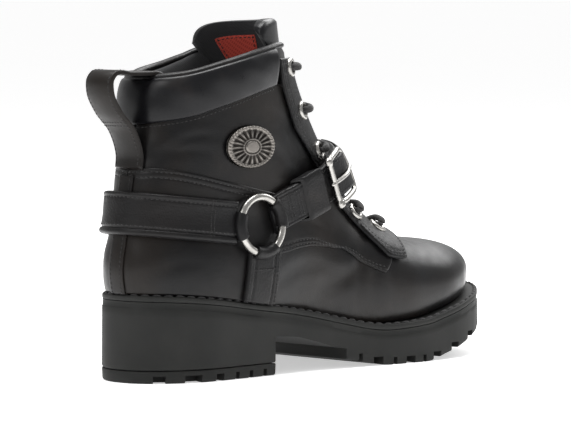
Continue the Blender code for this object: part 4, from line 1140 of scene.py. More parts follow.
class Stitching:
    """Rows of thread stitches gathered into one piece."""

    LENGTHS = np.array([-1, -0.8, -0.3, 0.3, 0.8, 1.0])
    WIDTHS = np.array([0.25, 0.75, 1, 1, 0.75, 0.25])
    SIDES = 6

    def __init__(self) -> None:
        """Start with no stitches."""
        self.points: list = []
        self.count = 0

    def row(self, points: Array, out: Array, pitch: float = 2.6 * MM, share: float = 0.72,
            width: float = 0.62 * MM) -> None:
        """Lay stitches along a line.

        Each is a rounded rod whose ends dip into the leather: a ring of six points carried
        along its length, narrowed and sunk towards both ends.

        Args:
            points: The line on the leather.
            out: The directions out along it.
            pitch: Distance from one stitch to the next.
            share: How much of the pitch the thread shows.
            width: The thread's width.
        """
        run = running(points)
        middle = np.arange(pitch / 2, run[-1], pitch)
        if not len(middle):
            return
        centre = np.stack([np.interp(middle, run, points[:, k]) for k in range(3)], 1)
        up = unit(np.stack([np.interp(middle, run, out[:, k]) for k in range(3)], 1))
        slope = np.gradient(points, run, axis=0)
        along = unit(np.stack([np.interp(middle, run, slope[:, k]) for k in range(3)], 1))
        beside = unit(np.cross(up, along))
        radius = width / 2
        turn = np.linspace(0, 2 * math.pi, self.SIDES, endpoint=False)
        ahead = share * pitch / 2 * self.LENGTHS
        sink = radius * (0.15 - 0.75 * self.LENGTHS ** 4)
        ring_side = radius * self.WIDTHS[:, None] * np.cos(turn)
        ring_up = radius * 0.8 * self.WIDTHS[:, None] * np.sin(turn) + sink[:, None]
        grid = (centre[:, None, None] + along[:, None, None] * ahead[None, :, None, None]
                + beside[:, None, None] * ring_side[None, ..., None]
                + up[:, None, None] * ring_up[None, ..., None])
        self.points.append(grid.reshape(-1, 3))
        self.count += len(middle)

    def piece(self, name: str, material: Any) -> bpy.types.Object:
        """Join every stitch into one mesh.

        Args:
            name: The piece's name.
            material: The thread's material.

        Returns:
            The new object.
        """
        rings, sides = len(self.LENGTHS), self.SIDES
        turned = grid_quads(sides, rings, around=True)
        quads = (turned % rings) * sides + turned // rings
        first = (np.arange(self.count) * rings * sides)[:, None, None]
        body = (first + quads[None]).reshape(-1, 4)
        start = first[:, 0] + np.arange(sides)[None]
        caps = np.concatenate([start, start + (rings - 1) * sides])
        faces = [*body.tolist(), *caps.tolist()]
        return make_piece(name, np.concatenate(self.points), faces, [material])


def tube(name: str, path: Array, out: Array, width: Any, height: Any, material: Any,
         sides: int = 14, closed: bool = False) -> bpy.types.Object:
    """Carry an oval section along a path.

    The section lies square to the path: width times the cosine along the side direction,
    height times the sine along the outward one. Its map runs 1 per 4 mm along, 1 around.

    Args:
        name: The piece's name.
        path: Points of the middle line.
        out: Outward directions along it.
        width: Full width, one for all or one for each point.
        height: Full height, likewise.
        material: Its material.
        sides: Points around the section.
        closed: True where the path joins up with itself.

    Returns:
        The new object, closed at both ends.
    """
    ahead = np.roll(path, -1, 0) - np.roll(path, 1, 0) if closed else np.gradient(path, axis=0)
    along = unit(ahead)
    beside = unit(np.cross(out, along))
    up = np.cross(along, beside)
    turn = np.linspace(0, 2 * math.pi, sides, endpoint=False)
    wide = np.broadcast_to(width, len(path))[:, None, None] / 2 * np.cos(turn)[None, :, None]
    high = np.broadcast_to(height, len(path))[:, None, None] / 2 * np.sin(turn)[None, :, None]
    points = path[:, None] + beside[:, None] * wide + up[:, None] * high
    faces = grid_quads(len(path), sides, around=closed, across=True).tolist()
    if not closed:
        faces += [list(range(sides)), list(range((len(path) - 1) * sides, len(path) * sides))]
    piece = make_piece(name, points, faces, [material])
    run = running(path) / (4 * MM)
    spot = np.empty(len(piece.data.loops), np.int32)
    piece.data.loops.foreach_get("vertex_index", spot)
    around = (spot % sides) / sides
    layer = piece.data.uv_layers.new(name="map")
    values = np.stack([run[spot // sides], around], 1).astype(np.float32)
    layer.data.foreach_set("uv", values.ravel())
    return piece


def rounded_ends(count: int, share: float = 0.12) -> Array:
    """Width shares along a rod that close as quarter circles at both ends.

    Args:
        count: Points along the rod.
        share: Share of it that each end takes.

    Returns:
        A share for each point.
    """
    place = np.linspace(0, 1, count)
    near = np.clip(np.minimum(place, 1 - place) / share, 0, 1)
    return np.maximum(np.sqrt(1 - (1 - near) ** 2), 0.05)


@dataclass
class Sole:
    """Outsole with its heel block, the lift under it and the stitched welt on top."""

    last: Last
    finishes: Finishes
    heel_length: float = 84 * MM
    lift_thickness: float = 6.5 * MM
    welt_thickness: float = 3 * MM
    welt_reach: float = 9 * MM
    groove: float = 0.5 * MM
    edge: float = 1.3 * MM
    tread_back: float = 0.493
    heel_shelf: float = 18 * MM
    notch_width: float = 8 * MM
    notch_height: float = 4 * MM
    notch_depth: float = 9 * MM
    count: int = 130

    def stack(self, name: str, rows: Sequence) -> bpy.types.Object:
        """Close a stack of plan rings with strips across.

        Args:
            name: The piece's name.
            rows: For each ring its inset, and its height as a function of x.

        Returns:
            The new object.
        """
        rings = []
        for inset, height in rows:
            ring = self.last.plan_ring(self.count, inset)
            rings.append(np.column_stack([ring, height(ring[:, 0])]))
        faces = stack_faces(len(rings), 2 * self.count)
        return make_piece(name, np.concatenate(rings), faces, [self.finishes.rubber])

    def notch(self, share: float, width: float, side: Side, bottom: float) -> Array:
        """Corners of the box that cuts one notch into the sole's lower edge.

        Args:
            share: Share of the sole's length.
            width: The notch's width.
            side: The side of the foot.
            bottom: Height of the edge there.

        Returns:
            Eight corners.
        """
        shares = share + np.array([-0.004, 0, 0.004])
        x = self.last.heel_back + shares * self.last.sole_length
        y = side.value * self.last.plan_half(shares, side) * self.last.ends(shares)
        along = unit(np.array([x[2] - x[0], y[2] - y[0], 0]))
        inward = np.array([-along[1], along[0], 0])
        half = np.array([width / 2, self.notch_depth, self.notch_height])
        axes = np.stack([along, inward, [0, 0, 1]])
        return np.array([x[1], y[1], bottom]) + (CUBE * half) @ axes

    def notches(self, first: float, last: float, bottom: Callable) -> tuple:
        """Boxes for every notch between two shares of the length, on both sides.

        Args:
            first: The lower share.
            last: The higher share.
            bottom: Height of the edge as a function of x.

        Returns:
            The boxes' corners and faces.
        """
        boxes = []
        for share, width in NOTCHES:
            if first < share < last:
                low = float(bottom(self.last.heel_back + share * self.last.sole_length))
                boxes += [self.notch(share, width * self.notch_width, side, low) for side in Side]
        faces = np.concatenate([8 * k + CUBE_FACES for k in range(len(boxes))])
        return np.concatenate(boxes), faces

    def cut(self, piece: bpy.types.Object, points: Array, faces: Sequence) -> None:
        """Take a solid away from a piece and keep the result as its mesh.

        Args:
            piece: The piece.
            points: The solid's vertices.
            faces: Its faces.
        """
        tool = make_piece("cutter", points, faces, [self.finishes.rubber])
        modifier = piece.modifiers.new("cut", "BOOLEAN")
        modifier.operation = "DIFFERENCE"
        modifier.object = tool
        modifier.solver = "EXACT"
        graph = bpy.context.evaluated_depsgraph_get()
        mesh = bpy.data.meshes.new_from_object(piece.evaluated_get(graph))
        piece.modifiers.clear()
        piece.data = mesh
        bpy.data.objects.remove(tool)
        mesh.shade_smooth()
        mesh.set_sharp_from_angle(angle=math.radians(40))

    def outsole(self) -> None:
        """Stack the outsole's side, cut the arch of the waist out of it, then the notches."""
        last = self.last
        heel_low = self.lift_thickness + GAP
        breast = last.heel_back + self.heel_length
        tread = last.heel_back + self.tread_back * last.sole_length

        def top(x: Array) -> Array:
            """Upper face, under the welt."""
            return last.welt_top(x) - self.welt_thickness - GAP

        def floor(x: Array) -> Array:
            """Lower face before the waist is cut."""
            return np.where(x < breast + self.heel_shelf, heel_low, last.tread_bottom(x))

        def side(share: float) -> Callable:
            """Height at a share of the way from the lower edge's rounding to the groove."""
            return lambda x: floor(x) + self.edge + share * (
                top(x) - self.welt_thickness - self.groove - floor(x) - self.edge)

        rows = [(1.0 * MM, floor), (0.5 * MM, lambda x: floor(x) + 0.2 * MM),
                (0.15 * MM, lambda x: floor(x) + 0.6 * MM), (0.0, side(0.0))]
        rows += [(0.2 * MM * share, side(share)) for share in np.linspace(0.15, 1.0, 7)]
        rows += [(0.4 * MM, lambda x: top(x) - self.welt_thickness - self.groove / 2),
                 (0.6 * MM, lambda x: top(x) - self.welt_thickness), (0.6 * MM, top)]
        body = self.stack("outsole_body", rows)
        share = np.linspace(0, 1, 17)
        height = last.seat_height * smooth(ARCH, 1)(share)
        arch = np.stack([breast + share * (tread - breast), height], 1)
        outline = np.concatenate([arch, [[tread, -0.05], [breast, -0.05]]])
        prism = np.concatenate([np.insert(outline, 1, y, axis=1) for y in (-0.1, 0.1)])
        count = len(outline)
        i = np.arange(count)
        walls = np.stack([i, (i + 1) % count, count + (i + 1) % count, count + i], 1).tolist()
        self.cut(body, prism, [*walls, list(range(count)), list(range(count, 2 * count))])
        self.cut(body, *self.notches(self.tread_back, 1.0, last.tread_bottom))
        fit(body, "sole_rubber", "outsole")

    def lift(self) -> None:
        """Make the lift under the heel, straight in front, with its notches."""
        breast = self.last.heel_back + self.heel_length
        rows = [(inset * MM, lambda x, z=height: 0 * x + z * MM)
                for inset, height in ((1.5, 0), (0.9, 0.25), (0.4, 0.8), (0.25, 1.4))]
        rows += [(0.0, lambda x: 0 * x + self.lift_thickness - 0.5 * MM),
                 (0.35 * MM, lambda x: 0 * x + self.lift_thickness)]
        piece = self.stack("heel_top_lift", rows)
        ahead = np.array([breast + 0.2, 0, 0]) + CUBE * np.array([0.2, 0.1, 0.1])
        self.cut(piece, ahead, CUBE_FACES)
        share = self.heel_length / self.last.sole_length
        self.cut(piece, *self.notches(0.0, share, np.zeros_like))
        fit(piece, "sole_rubber", "heel_lift")

    def welt(self) -> None:
        """Carry the welt's section around the sole and stitch along its groove."""
        last = self.last
        reach = (last.overhang + self.welt_reach) / MM
        rows = [(0.9, -3.0), (0.45, -2.8), (0.3, -2.3), (0.3, -0.9), (0.45, -0.4), (0.8, -0.1),
                (1.2, 0.0), (1.5, -0.05), (1.7, -0.35), (2.5, -0.35), (2.8, -0.05), (3.1, 0.0),
                (reach, 0.0), (reach, -3.0)]
        grid = []
        for inset, drop in rows:
            ring = last.plan_ring(self.count, inset * MM)
            grid.append(np.column_stack([ring, last.welt_top(ring[:, 0]) + drop * MM]))
        grid = np.stack(grid, 1)
        faces = grid_quads(*grid.shape[:2], around=True, across=True)
        fit(make_piece("welt_strip", grid, faces, [self.finishes.rubber]), "sole_rubber", "welt")
        ring = last.plan_ring(400, 2.1 * MM)
        line = np.column_stack([ring, last.welt_top(ring[:, 0]) + 0.15 * MM])
        line = np.concatenate([line, line[:1]])
        thread = Stitching()
        up = np.broadcast_to([0, 0, 1.0], line.shape)
        thread.row(line, up, pitch=6.2 * MM, share=0.80, width=1.6 * MM)
        fit(thread.piece("welt_stitches", self.finishes.thread), "lace_cord")

    def build(self) -> None:
        """Make the outsole, the lift, the welt and the welt's stitching."""
        self.outsole()
        self.lift()
        self.welt()


@dataclass
class Upper:
    """Hollow leather upper: the vamp on the last, with the quarters and the counter over it."""

    last: Last
    finishes: Finishes
    thread: Stitching
    wall: float = WALL
    step: float = 1.2 * MM
    columns: int = 190
    rows: int = 96

    def creases(self, points: Array) -> Array:
        """Depth of the soft creases: long bells, each with a low ridge beside its trough.

        Args:
            points: Points on the leather.

        Returns:
            How far each is pressed in.
        """
        depth = np.zeros(points.shape[:-1])
        x, z = points[..., 0] / MM, points[..., 2] / MM
        for place_x, place_z, lean, length, width, deep in CREASES:
            turn = math.radians(lean)
            along = (x - place_x) * math.cos(turn) + (z - place_z) * math.sin(turn)
            beside = (z - place_z) * math.cos(turn) - (x - place_x) * math.sin(turn)
            beside = beside + 0.012 * along ** 2
            trough = bell(beside / width) - 0.45 * bell((beside - 1.9 * width) / width)
            depth = depth + deep * MM * trough * bell(along / length)
        return depth

    def shell(self) -> None:
        """Join the outside and the lined inside of the wall into one closed surface."""
        u = np.linspace(0, 0.5, self.columns + 1)
        v = np.linspace(0, 1, self.rows)
        inner_v = np.linspace(0, 1, 36)
        runs = []
        for level, shares in ((-self.step, v), (-self.wall, inner_v[::-1])):
            halves = [self.last.wall(u, shares, side, level) for side in (Side.OUTER, Side.INNER)]
            runs.append(np.concatenate([halves[0], halves[1][-2:0:-1]]))
        outside, inside = runs
        outside = outside - self.last.normals(outside) * self.creases(outside)[..., None]
        loop = np.concatenate([outside, inside], 1)
        faces = grid_quads(*loop.shape[:2], around=True, across=True)
        which = np.tile((np.arange(loop.shape[1]) >= len(v) - 1).astype(int), len(loop))
        materials = [self.finishes.vamp, self.finishes.lining]
        piece = make_piece("upper_shell", loop, faces, materials, which)
        fit(piece, "upper_leather", "upper")

    def turned(self, rows: Sequence) -> Array:
        """Turn around the leg's axis and height of points given in mm."""
        rows = np.asarray(rows, float) * MM
        turn = np.arctan2(rows[:, 1], self.last.leg_axis - rows[:, 0])
        return np.stack([turn, rows[:, 2]], 1)

    def patch(self, low: Array, top: Array, side: Side, level: float, rise: Array,
              thickness: float) -> Panel:
        """A panel between two lines given as turns and heights, ruled from one to the other.

        Args:
            low: Lower line.
            top: Upper line.
            side: The side of the foot.
            level: Distance of its under face out from the form.
            rise: Shares from the lower line to the upper.
            thickness: Its thickness.

        Returns:
            The panel.
        """
        share = rise[None, :, None]
        place = low[:, None] * (1 - share) + top[:, None] * share
        points = self.last.cast(*self.last.level_ray(place[..., 0], place[..., 1], side), level)
        out = self.last.normals(points)
        points = points - out * self.creases(points)[..., None]
        return Panel(points, out, thickness, radius=1.1 * MM)

    def counter(self, side: Side) -> None:
        """Heel counter: from the welt up to its double-stitched top edge.

        Args:
            side: The side of the foot.
        """
        share = edged(120 * MM, 1.3 * MM)
        count = len(share)
        top = through(self.turned(COUNTER_TOP), 400)
        place = np.linspace(0, 1, 400)
        top = np.stack([np.interp(share, place, top[:, k]) for k in range(2)], 1)
        low_turn = self.turned([COUNTER_FRONT_LOW])[0, 0] * share
        low = np.stack([low_turn, np.zeros(count)], 1)
        for _ in range(3):
            origin, aim = self.last.level_ray(low[:, 0], low[:, 1] + 1e-4, side)
            x = self.last.cast(origin, aim, 0.0)[:, 0] if low[0, 1] else origin[:, 0] - 0.05
            low[:, 1] = self.last.welt_top(x) + 0.9 * MM
        rise = edged(62 * MM, 1.3 * MM, 6 * MM)
        panel = self.patch(low, top, side, -0.3 * MM, rise, 1.5 * MM)
        for inset in (2.0, 5.0):
            panel.dent(Border.TOP, inset * MM, 0.22 * MM, STITCH_CHANNEL)
            self.thread.row(*panel.line(Border.TOP, inset * MM, 0.02, 0.99))
        panel.dent(Border.END, 2.0 * MM, 0.2 * MM, 0.5 * MM)
        self.thread.row(*panel.line(Border.END, 2.0 * MM, 0.02, 0.98))
        piece = panel.piece(f"counter_{side.label}", self.finishes.upper)
        fit(piece, "upper_leather")

    def quarter(self, side: Side) -> None:
        """Quarter: over the vamp's seam, up to the collar pad and forward under the lace stay.

        Args:
            side: The side of the foot.
        """
        share = edged(190 * MM, 1.4 * MM, 5 * MM)
        place = np.linspace(0, 1, 600)
        low = through(self.turned(QUARTER_LOW), 600)
        collar = np.linspace(0, 0.80, 40)
        start, aim = self.last.collar_ray(collar, side)
        start = start - np.outer(21 * MM * (1 - 0.2 * collar), [0, 0, 1])
        band = self.last.cast(start, aim, 0.0)
        t = np.linspace(0.18, 0.80, 40)
        angle = self.last.across_throat(t, np.array([4 * MM]), side)
        front = self.last.cast(*self.last.throat_fan(t[:, None], angle), 0.0)[:, 0]
        rows = np.concatenate([band, front, [[0.1353, side.value * 0.0399, 0.0584]]]) / MM
        rows[:, 1] = np.abs(rows[:, 1])
        top = even(self.turned(rows), 600)
        low, top = (np.stack([np.interp(share, place, line[:, k]) for k in range(2)], 1)
                    for line in (low, top))
        rise = edged(52 * MM, 1.1 * MM, 6 * MM)
        panel = self.patch(low, top, side, -self.step, rise, self.step)
        for inset in (1.9, 4.4):
            panel.dent(Border.LOW, inset * MM, 0.2 * MM, STITCH_CHANNEL)
            self.thread.row(*panel.line(Border.LOW, inset * MM, 0.44, 0.985))
        piece = panel.piece(f"quarter_{side.label}", self.finishes.upper)
        fit(piece, "upper_leather")

    def insole(self) -> None:
        """Cloth-covered footbed, slightly dished, inside the upper."""
        rings = []
        u = np.linspace(0, 0.5, 61)
        for inset, rise in FOOTBED:
            halves = []
            for side in (Side.OUTER, Side.INNER):
                start, point = self.last.feather_edge(u, side)
                ring = self.last.cast(start, point - start, -inset * MM)
                ring[:, 2] = self.last.welt_top(ring[:, 0]) + rise * MM
                halves.append(ring)
            rings.append(np.concatenate([halves[0], halves[1][-2:0:-1]]))
        faces = stack_faces(len(rings), len(rings[0]))
        piece = make_piece("footbed", np.concatenate(rings), faces, [self.finishes.lining])
        fit(piece, "lining", "insole")

    def build(self) -> None:
        """Make the shell, the counters, the quarters and the footbed."""
        self.shell()
        for side in Side:
            self.counter(side)
            self.quarter(side)
        self.insole()


@dataclass
class Collar:
    """Padded band and bound edge around the topline, the back stay and the pull loop."""

    last: Last
    finishes: Finishes
    thread: Stitching
    pad_width: float = 24 * MM
    pad_thickness: float = 4 * MM
    lie: float = 0.7 * MM
    loop_width: float = 19 * MM
    loop_thickness: float = 2.2 * MM
    loop_reach: float = 31 * MM
    loop_height: float = 50 * MM
    loop_bow: float = 24 * MM
    wall: float = WALL

    def around(self, shares: Array, drop: Array, level: Any) -> Array:
        """Wall points around the topline and below it.

        Args:
            shares: Shares around from the back, minus on the outer side.
            drop: Drops below the topline, a row for each share.
            level: Distance out from the form.

        Returns:
            A grid of points.
        """
        points = np.zeros((len(shares), drop.shape[-1], 3))
        level = np.broadcast_to(level, points.shape[:2])
        for side in Side:
            mine = (shares < 0) == (side is Side.OUTER)
            origin, direction = self.last.collar_ray(np.abs(shares[mine]), side)
            starts = origin[:, None] - drop[mine][..., None] * np.array([0, 0, 1.0])
            points[mine] = self.last.cast(starts, direction[:, None], level[mine])
        return points

    def pad(self) -> None:
        """Foam-filled band: a full crown near the top that flattens into the lower seam."""
        shares = 0.80 * (2 * edged(190 * MM, 1.5 * MM) - 1)
        rows = edged(23 * MM, 0.8 * MM, 3 * MM)
        width = self.pad_width * (1 - 0.2 * np.abs(shares))
        drop = rows[None] * width[:, None]
        base = self.around(shares, drop, self.lie)
        out = self.last.normals(base)
        crown = np.sin(math.pi * np.clip(rows, 0, 1) ** 0.72) ** 0.6
        slack = 0.25 * MM * np.sin(shares[:, None] * 31 + rows[None] * 5) * np.sin(math.pi * rows)
        height = 0.9 * MM + (self.pad_thickness - 0.9 * MM) * crown[None] + slack
        panel = Panel(base, out, height, radius=0.9 * MM, wall=0.2)
        piece = panel.piece("collar_padding", self.finishes.pad)
        fit(piece, "upper_leather", "collar_pad")
        below = self.around(shares, width[:, None] + 1.7 * MM, 0.0)[:, 0]
        self.thread.row(below, self.last.normals(below), pitch=2.4 * MM)

    def binding(self) -> None:
        """Rolled edge over the wall's rim, from stay to stay."""
        shares = np.linspace(-0.93, 0.93, 260)
        path = self.around(shares, np.full((len(shares), 1), -0.2 * MM), -0.7 * MM)[:, 0]
        out = np.broadcast_to([0, 0, 1.0], path.shape)
        taper = rounded_ends(len(path), 0.02)
        piece = tube("collar_binding", path, out, 5.0 * MM * taper, 3.6 * MM * taper,
                     self.finishes.strap, sides=16)
        fit(piece, "upper_leather")
        inside = self.around(shares, np.full((len(shares), 1), 12 * MM), -4.6 * MM)[:, 0]
        normals = self.last.normals(inside)
        piece = tube("collar_lining_roll", inside, normals, 22 * MM * taper, 4.2 * MM * taper,
                     self.finishes.lining, sides=20)
        fit(piece, "lining")

    def back_stay(self) -> None:
        """Strip over the heel seam with a row of thread along both edges."""
        low_z = float(self.last.welt_top(self.last.heel_back)) + 2 * GAP
        high_z = 0.62 * self.last.boot_height
        z = low_z + edged(high_z - low_z, 1.6 * MM) * (high_z - low_z)
        y = 10 * MM * (edged(10 * MM, 0.8 * MM) - 0.5)
        origin = np.zeros((len(z), len(y), 3))
        origin[..., 0] = self.last.heel_back + 0.3 * self.last.sole_length
        origin[..., 1] = y[None]
        origin[..., 2] = z[:, None]
        base = self.last.cast(origin, (-1, 0, 0), 1.2 * MM + GAP)
        panel = Panel(base, self.last.normals(base), 0.9 * MM, radius=0.8 * MM)
        for border in (Border.LOW, Border.TOP):
            self.thread.row(*panel.line(border, 1.7 * MM, 0.02, 0.98), pitch=2.4 * MM)
        fit(panel.piece("heel_seam_strip", self.finishes.upper), "upper_leather", "back_stay")

    def loop(self) -> None:
        """Leather loop: a strip carried along its side view, bowed to the leg's curve."""
        topline = float(self.last.tables["top_outer"](0)) * self.last.boot_height
        z = topline + self.loop_height * np.array([row[0] for row in PULL_LOOP])
        behind = np.array([row[1] for row in PULL_LOOP])
        origin = np.stack([self.last.leg_axis + 0 * z, 0 * z, np.minimum(z, topline)], 1)
        back = self.last.cast(origin, (-1, 0, 0), 0.0)[:, 0]
        half = self.loop_thickness / 2
        outside = back - 1.2 * MM - GAP - half
        inside = back + self.wall + 3 * GAP + half
        x = outside - np.maximum(behind, 0) * self.loop_reach
        x = x + np.maximum(-behind, 0) * (inside - outside)
        path = through(np.stack([x, z], 1), 130)
        along = unit(np.gradient(path, axis=0))
        across = np.stack([along[:, 1], -along[:, 0]], 1)
        y = self.loop_width * (edged(self.loop_width, 1.0 * MM) - 0.5)
        bow = y ** 2 / (2 * self.loop_bow)
        out = np.zeros((len(path), len(y), 3))
        out[..., 0], out[..., 2] = across[:, None, 0], across[:, None, 1]
        base = np.zeros_like(out)
        base[..., 0] = (path[:, 0] - half * across[:, 0])[:, None] + bow[None]
        base[..., 1] = y[None]
        base[..., 2] = (path[:, 1] - half * across[:, 1])[:, None]
        if across[0, 0] > 0:
            base, out = base + self.loop_thickness * out, -out
        panel = Panel(base, out, self.loop_thickness, radius=0.9 * MM)
        for border in (Border.LOW, Border.TOP):
            panel.dent(border, 1.6 * MM, 0.15 * MM, STITCH_CHANNEL)
            self.thread.row(*panel.line(border, 1.6 * MM, 0.02, 0.60), pitch=2.4 * MM)
        for place in (0.225, 0.25):
            row = int(place * len(path))
            self.thread.row(panel.top[row, 4:-4], panel.out[row, 4:-4], pitch=1.9 * MM)
        fit(panel.piece("heel_pull_loop", self.finishes.loop), "upper_leather", "pull_loop")

    def build(self) -> None:
        """Make the pad, the binding, the back stay and the pull loop."""
        self.pad()
        self.binding()
        self.back_stay()
        self.loop()


@dataclass
class Lacing:
    """Lace stays with their eyelets, the tongue between them, and the laces."""

    last: Last
    finishes: Finishes
    thread: Stitching
    eyelets: tuple = (0.065, 0.26, 0.43, 0.565, 0.70, 0.825)
    under_strap: int = 3
    stay_width: float = 16.5 * MM
    stay_flare: float = 0.5
    toe_flare: float = 7.0 * MM
    stay_lie: float = 1.0 * MM
    stay_thickness: float = 1.8 * MM
    eyelet_outer: float = 10.4 * MM
    eyelet_hole: float = 5.2 * MM
    eyelet_inset: float = 6.5 * MM
    lace_width: float = 3.9 * MM
    tongue_thickness: float = 4.5 * MM
    tongue_rise: float = 18.5 * MM
    wall: float = WALL

    @property
    def seat(self) -> float:
        """Height of the eyelets' seats above the form."""
        return self.stay_lie + self.stay_thickness + 0.1 * MM

    def stay(self, side: Side) -> None:
        """Lace stay: a strip down the throat's edge with double rows of thread.

        Args:
            side: The side of the foot.
        """
        t = 0.02 + 0.89 * edged(160 * MM, 1.3 * MM)
        width = self.stay_width * (1 + self.stay_flare * t)
        width = width + self.toe_flare * ease((t - 0.52) / 0.36)
        reach = 2 * GAP + width[:, None] * edged(18 * MM, 0.9 * MM, 5.5 * MM)
        angle = self.last.across_throat(t, reach, side)
        base = self.last.cast(*self.last.throat_fan(t[:, None], angle), self.stay_lie)
        panel = Panel(base, self.last.normals(base), self.stay_thickness, radius=1.1 * MM)
        for border, inset in ((Border.TOP, 1.9), (Border.TOP, 4.3), (Border.LOW, 1.8)):
            panel.dent(border, inset * MM, 0.22 * MM, STITCH_CHANNEL)
            self.thread.row(*panel.line(border, inset * MM, 0.02, 0.97), pitch=2.4 * MM)
        for inset in (3.0, 17.5, 20.0):
            self.thread.row(*panel.line(Border.START, inset * MM, 0.12, 0.9), pitch=2.2 * MM)
        self.thread.row(*panel.line(Border.END, 2.2 * MM, 0.1, 0.92), pitch=2.2 * MM)
        piece = panel.piece(f"lace_stay_{side.label}", self.finishes.strap)
        fit(piece, "upper_leather", f"eyestay_{side.label}")

    def seats(self, side: Side, inset: float, level: float) -> Array:
        """Points at the eyelets' places, a run in from the throat's edge and a height up."""
        t = np.array(self.eyelets)
        angle = self.last.across_throat(t, np.array([inset]), side)
        return self.last.cast(*self.last.throat_fan(t[:, None], angle), level)[:, 0]

    def eyelet(self, side: Side, number: int, seat: Array, out: Array) -> None:
        """One rolled metal ring and the dark well inside it: profiles turned about the axis.

        Args:
            side: The side of the foot.
            number: Its number from the top.
            seat: Its place on the stay.
            out: The way out there.
        """
        hole, outer = self.eyelet_hole / 2, self.eyelet_outer / 2
        roll = np.radians(np.linspace(0, 180, 9))
        middle, half = (hole + outer) / 2, (outer - hole) / 2
        radius = np.concatenate([middle - half * np.cos(roll), [outer, hole]])
        crown = 0.1 * MM + 1.15 * MM * np.sin(roll) ** 0.8
        height = np.concatenate([crown, [-0.3 * MM, -0.3 * MM]])
        turn = np.linspace(0, 2 * math.pi, 36, endpoint=False)
        side_axis = unit(np.cross(out, [0.3, 0.2, 1.0]))
        other = np.cross(out, side_axis)
        spoke = np.cos(turn)[:, None] * side_axis + np.sin(turn)[:, None] * other
        grid = seat + spoke[:, None] * radius[None, :, None] + out * height[None, :, None]
        faces = grid_quads(*grid.shape[:2], around=True, across=True)
        name = f"{side.label}_{number}"
        ring = make_piece(f"eyelet_ring_{name}", grid, faces, [self.finishes.nickel])
        fit(ring, "nickel", f"eyelet_{name}")
        rim = seat + spoke * hole * 1.02
        well = np.stack([rim - out * 0.3 * MM, rim + out * 0.12 * MM])
        faces = grid_quads(2, len(turn), across=True).tolist()
        faces += [list(range(len(turn))), list(range(len(turn), 2 * len(turn)))]
        fit(make_piece(f"eyelet_well_{name}", well, faces, [self.finishes.lining]), "lining")

    def tongue(self) -> None:
        """Padded tongue: leather outside, cloth inside, standing above the collar with a roll."""
        rows = edged(180 * MM, 1.8 * MM)[:, None]
        columns = (2 * edged(70 * MM, 1.6 * MM) - 1)[None]
        drop = 11 * MM * columns ** 4 + 2.5 * MM * columns
        top = (drop - self.tongue_rise) / (0.725 * self.last.boot_height)
        t = top + rows * (0.97 - top)
        angle = columns * np.radians(np.interp(t, [-0.12, 0.5, 0.97], [58, 49, 24]))
        under = -self.wall - 4 * GAP
        outer = self.last.cast(*self.last.throat_fan(t, angle), under - 0.3 * MM)
        out = self.last.normals(outer)
        roll = bell((t - top) * 127.6 / 7.0)
        full = 1 + 0.5 * roll
        edge = np.sqrt(np.clip(1 - np.abs(columns) ** 6, 0, 1)) * np.ones_like(t)
        quilt = 1 - 0.12 * bell((t - 0.10) / 0.012)
        inner = outer - out * (self.tongue_thickness * full * edge * quilt)[..., None]
        panel = Panel(inner, out, self.tongue_thickness * full * edge * quilt + 0.3 * MM,
                      radius=2.6 * MM, wall=0.35)
        piece = panel.piece("tongue_padded", self.finishes.pad, self.finishes.lining)
        fit(piece, "upper_leather", "tongue")
        self.label(inner, out, rows, columns)

    def label(self, inner: Array, out: Array, rows: Array, columns: Array) -> None:
        """Plain red woven label on the tongue's cloth side, sewn along its border.

        Args:
            inner: The tongue's cloth side as a grid.
            out: The way out at each point.
            rows: The grid's shares down the tongue.
            columns: Its shares across.
        """
        first, last = np.searchsorted(columns[0], (0.02, 0.66))
        low, high = np.searchsorted(rows[:, 0], (0.05, 0.165))
        base = inner[low:high, first:last] - out[low:high, first:last] * 0.9 * MM
        panel = Panel(base + 0.8 * MM * out[low:high, first:last], -out[low:high, first:last],
                      0.9 * MM, radius=0.6 * MM)
        fit(panel.piece("tongue_label", self.finishes.red), "lining")
        for border in Border:
            self.thread.row(*panel.line(border, 1.3 * MM, 0.05, 0.95), pitch=2.4 * MM)

    def in_throat(self, t: float, reach: float, level: float) -> Array:
        """A point over the tongue: share down the throat, reach to one side."""
        start, ahead = self.last.throat_ray(np.array([t]))
        return self.last.cast(start + np.array([0, reach, 0]), ahead, level)[0]

    def strand(self, name: str, points: Sequence, nodes: Sequence) -> None:
        """One lace strand: an oval cord through a few points.

        Args:
            name: The piece's name.
            points: The points.
            nodes: The solids that it stands for.
        """
        path = through(points, 70)
        out = self.last.normals(path)
        piece = tube(name, path, out, self.lace_width, self.lace_width * 0.86, self.finishes.cord)
        fit(piece, "lace_cord", *nodes)

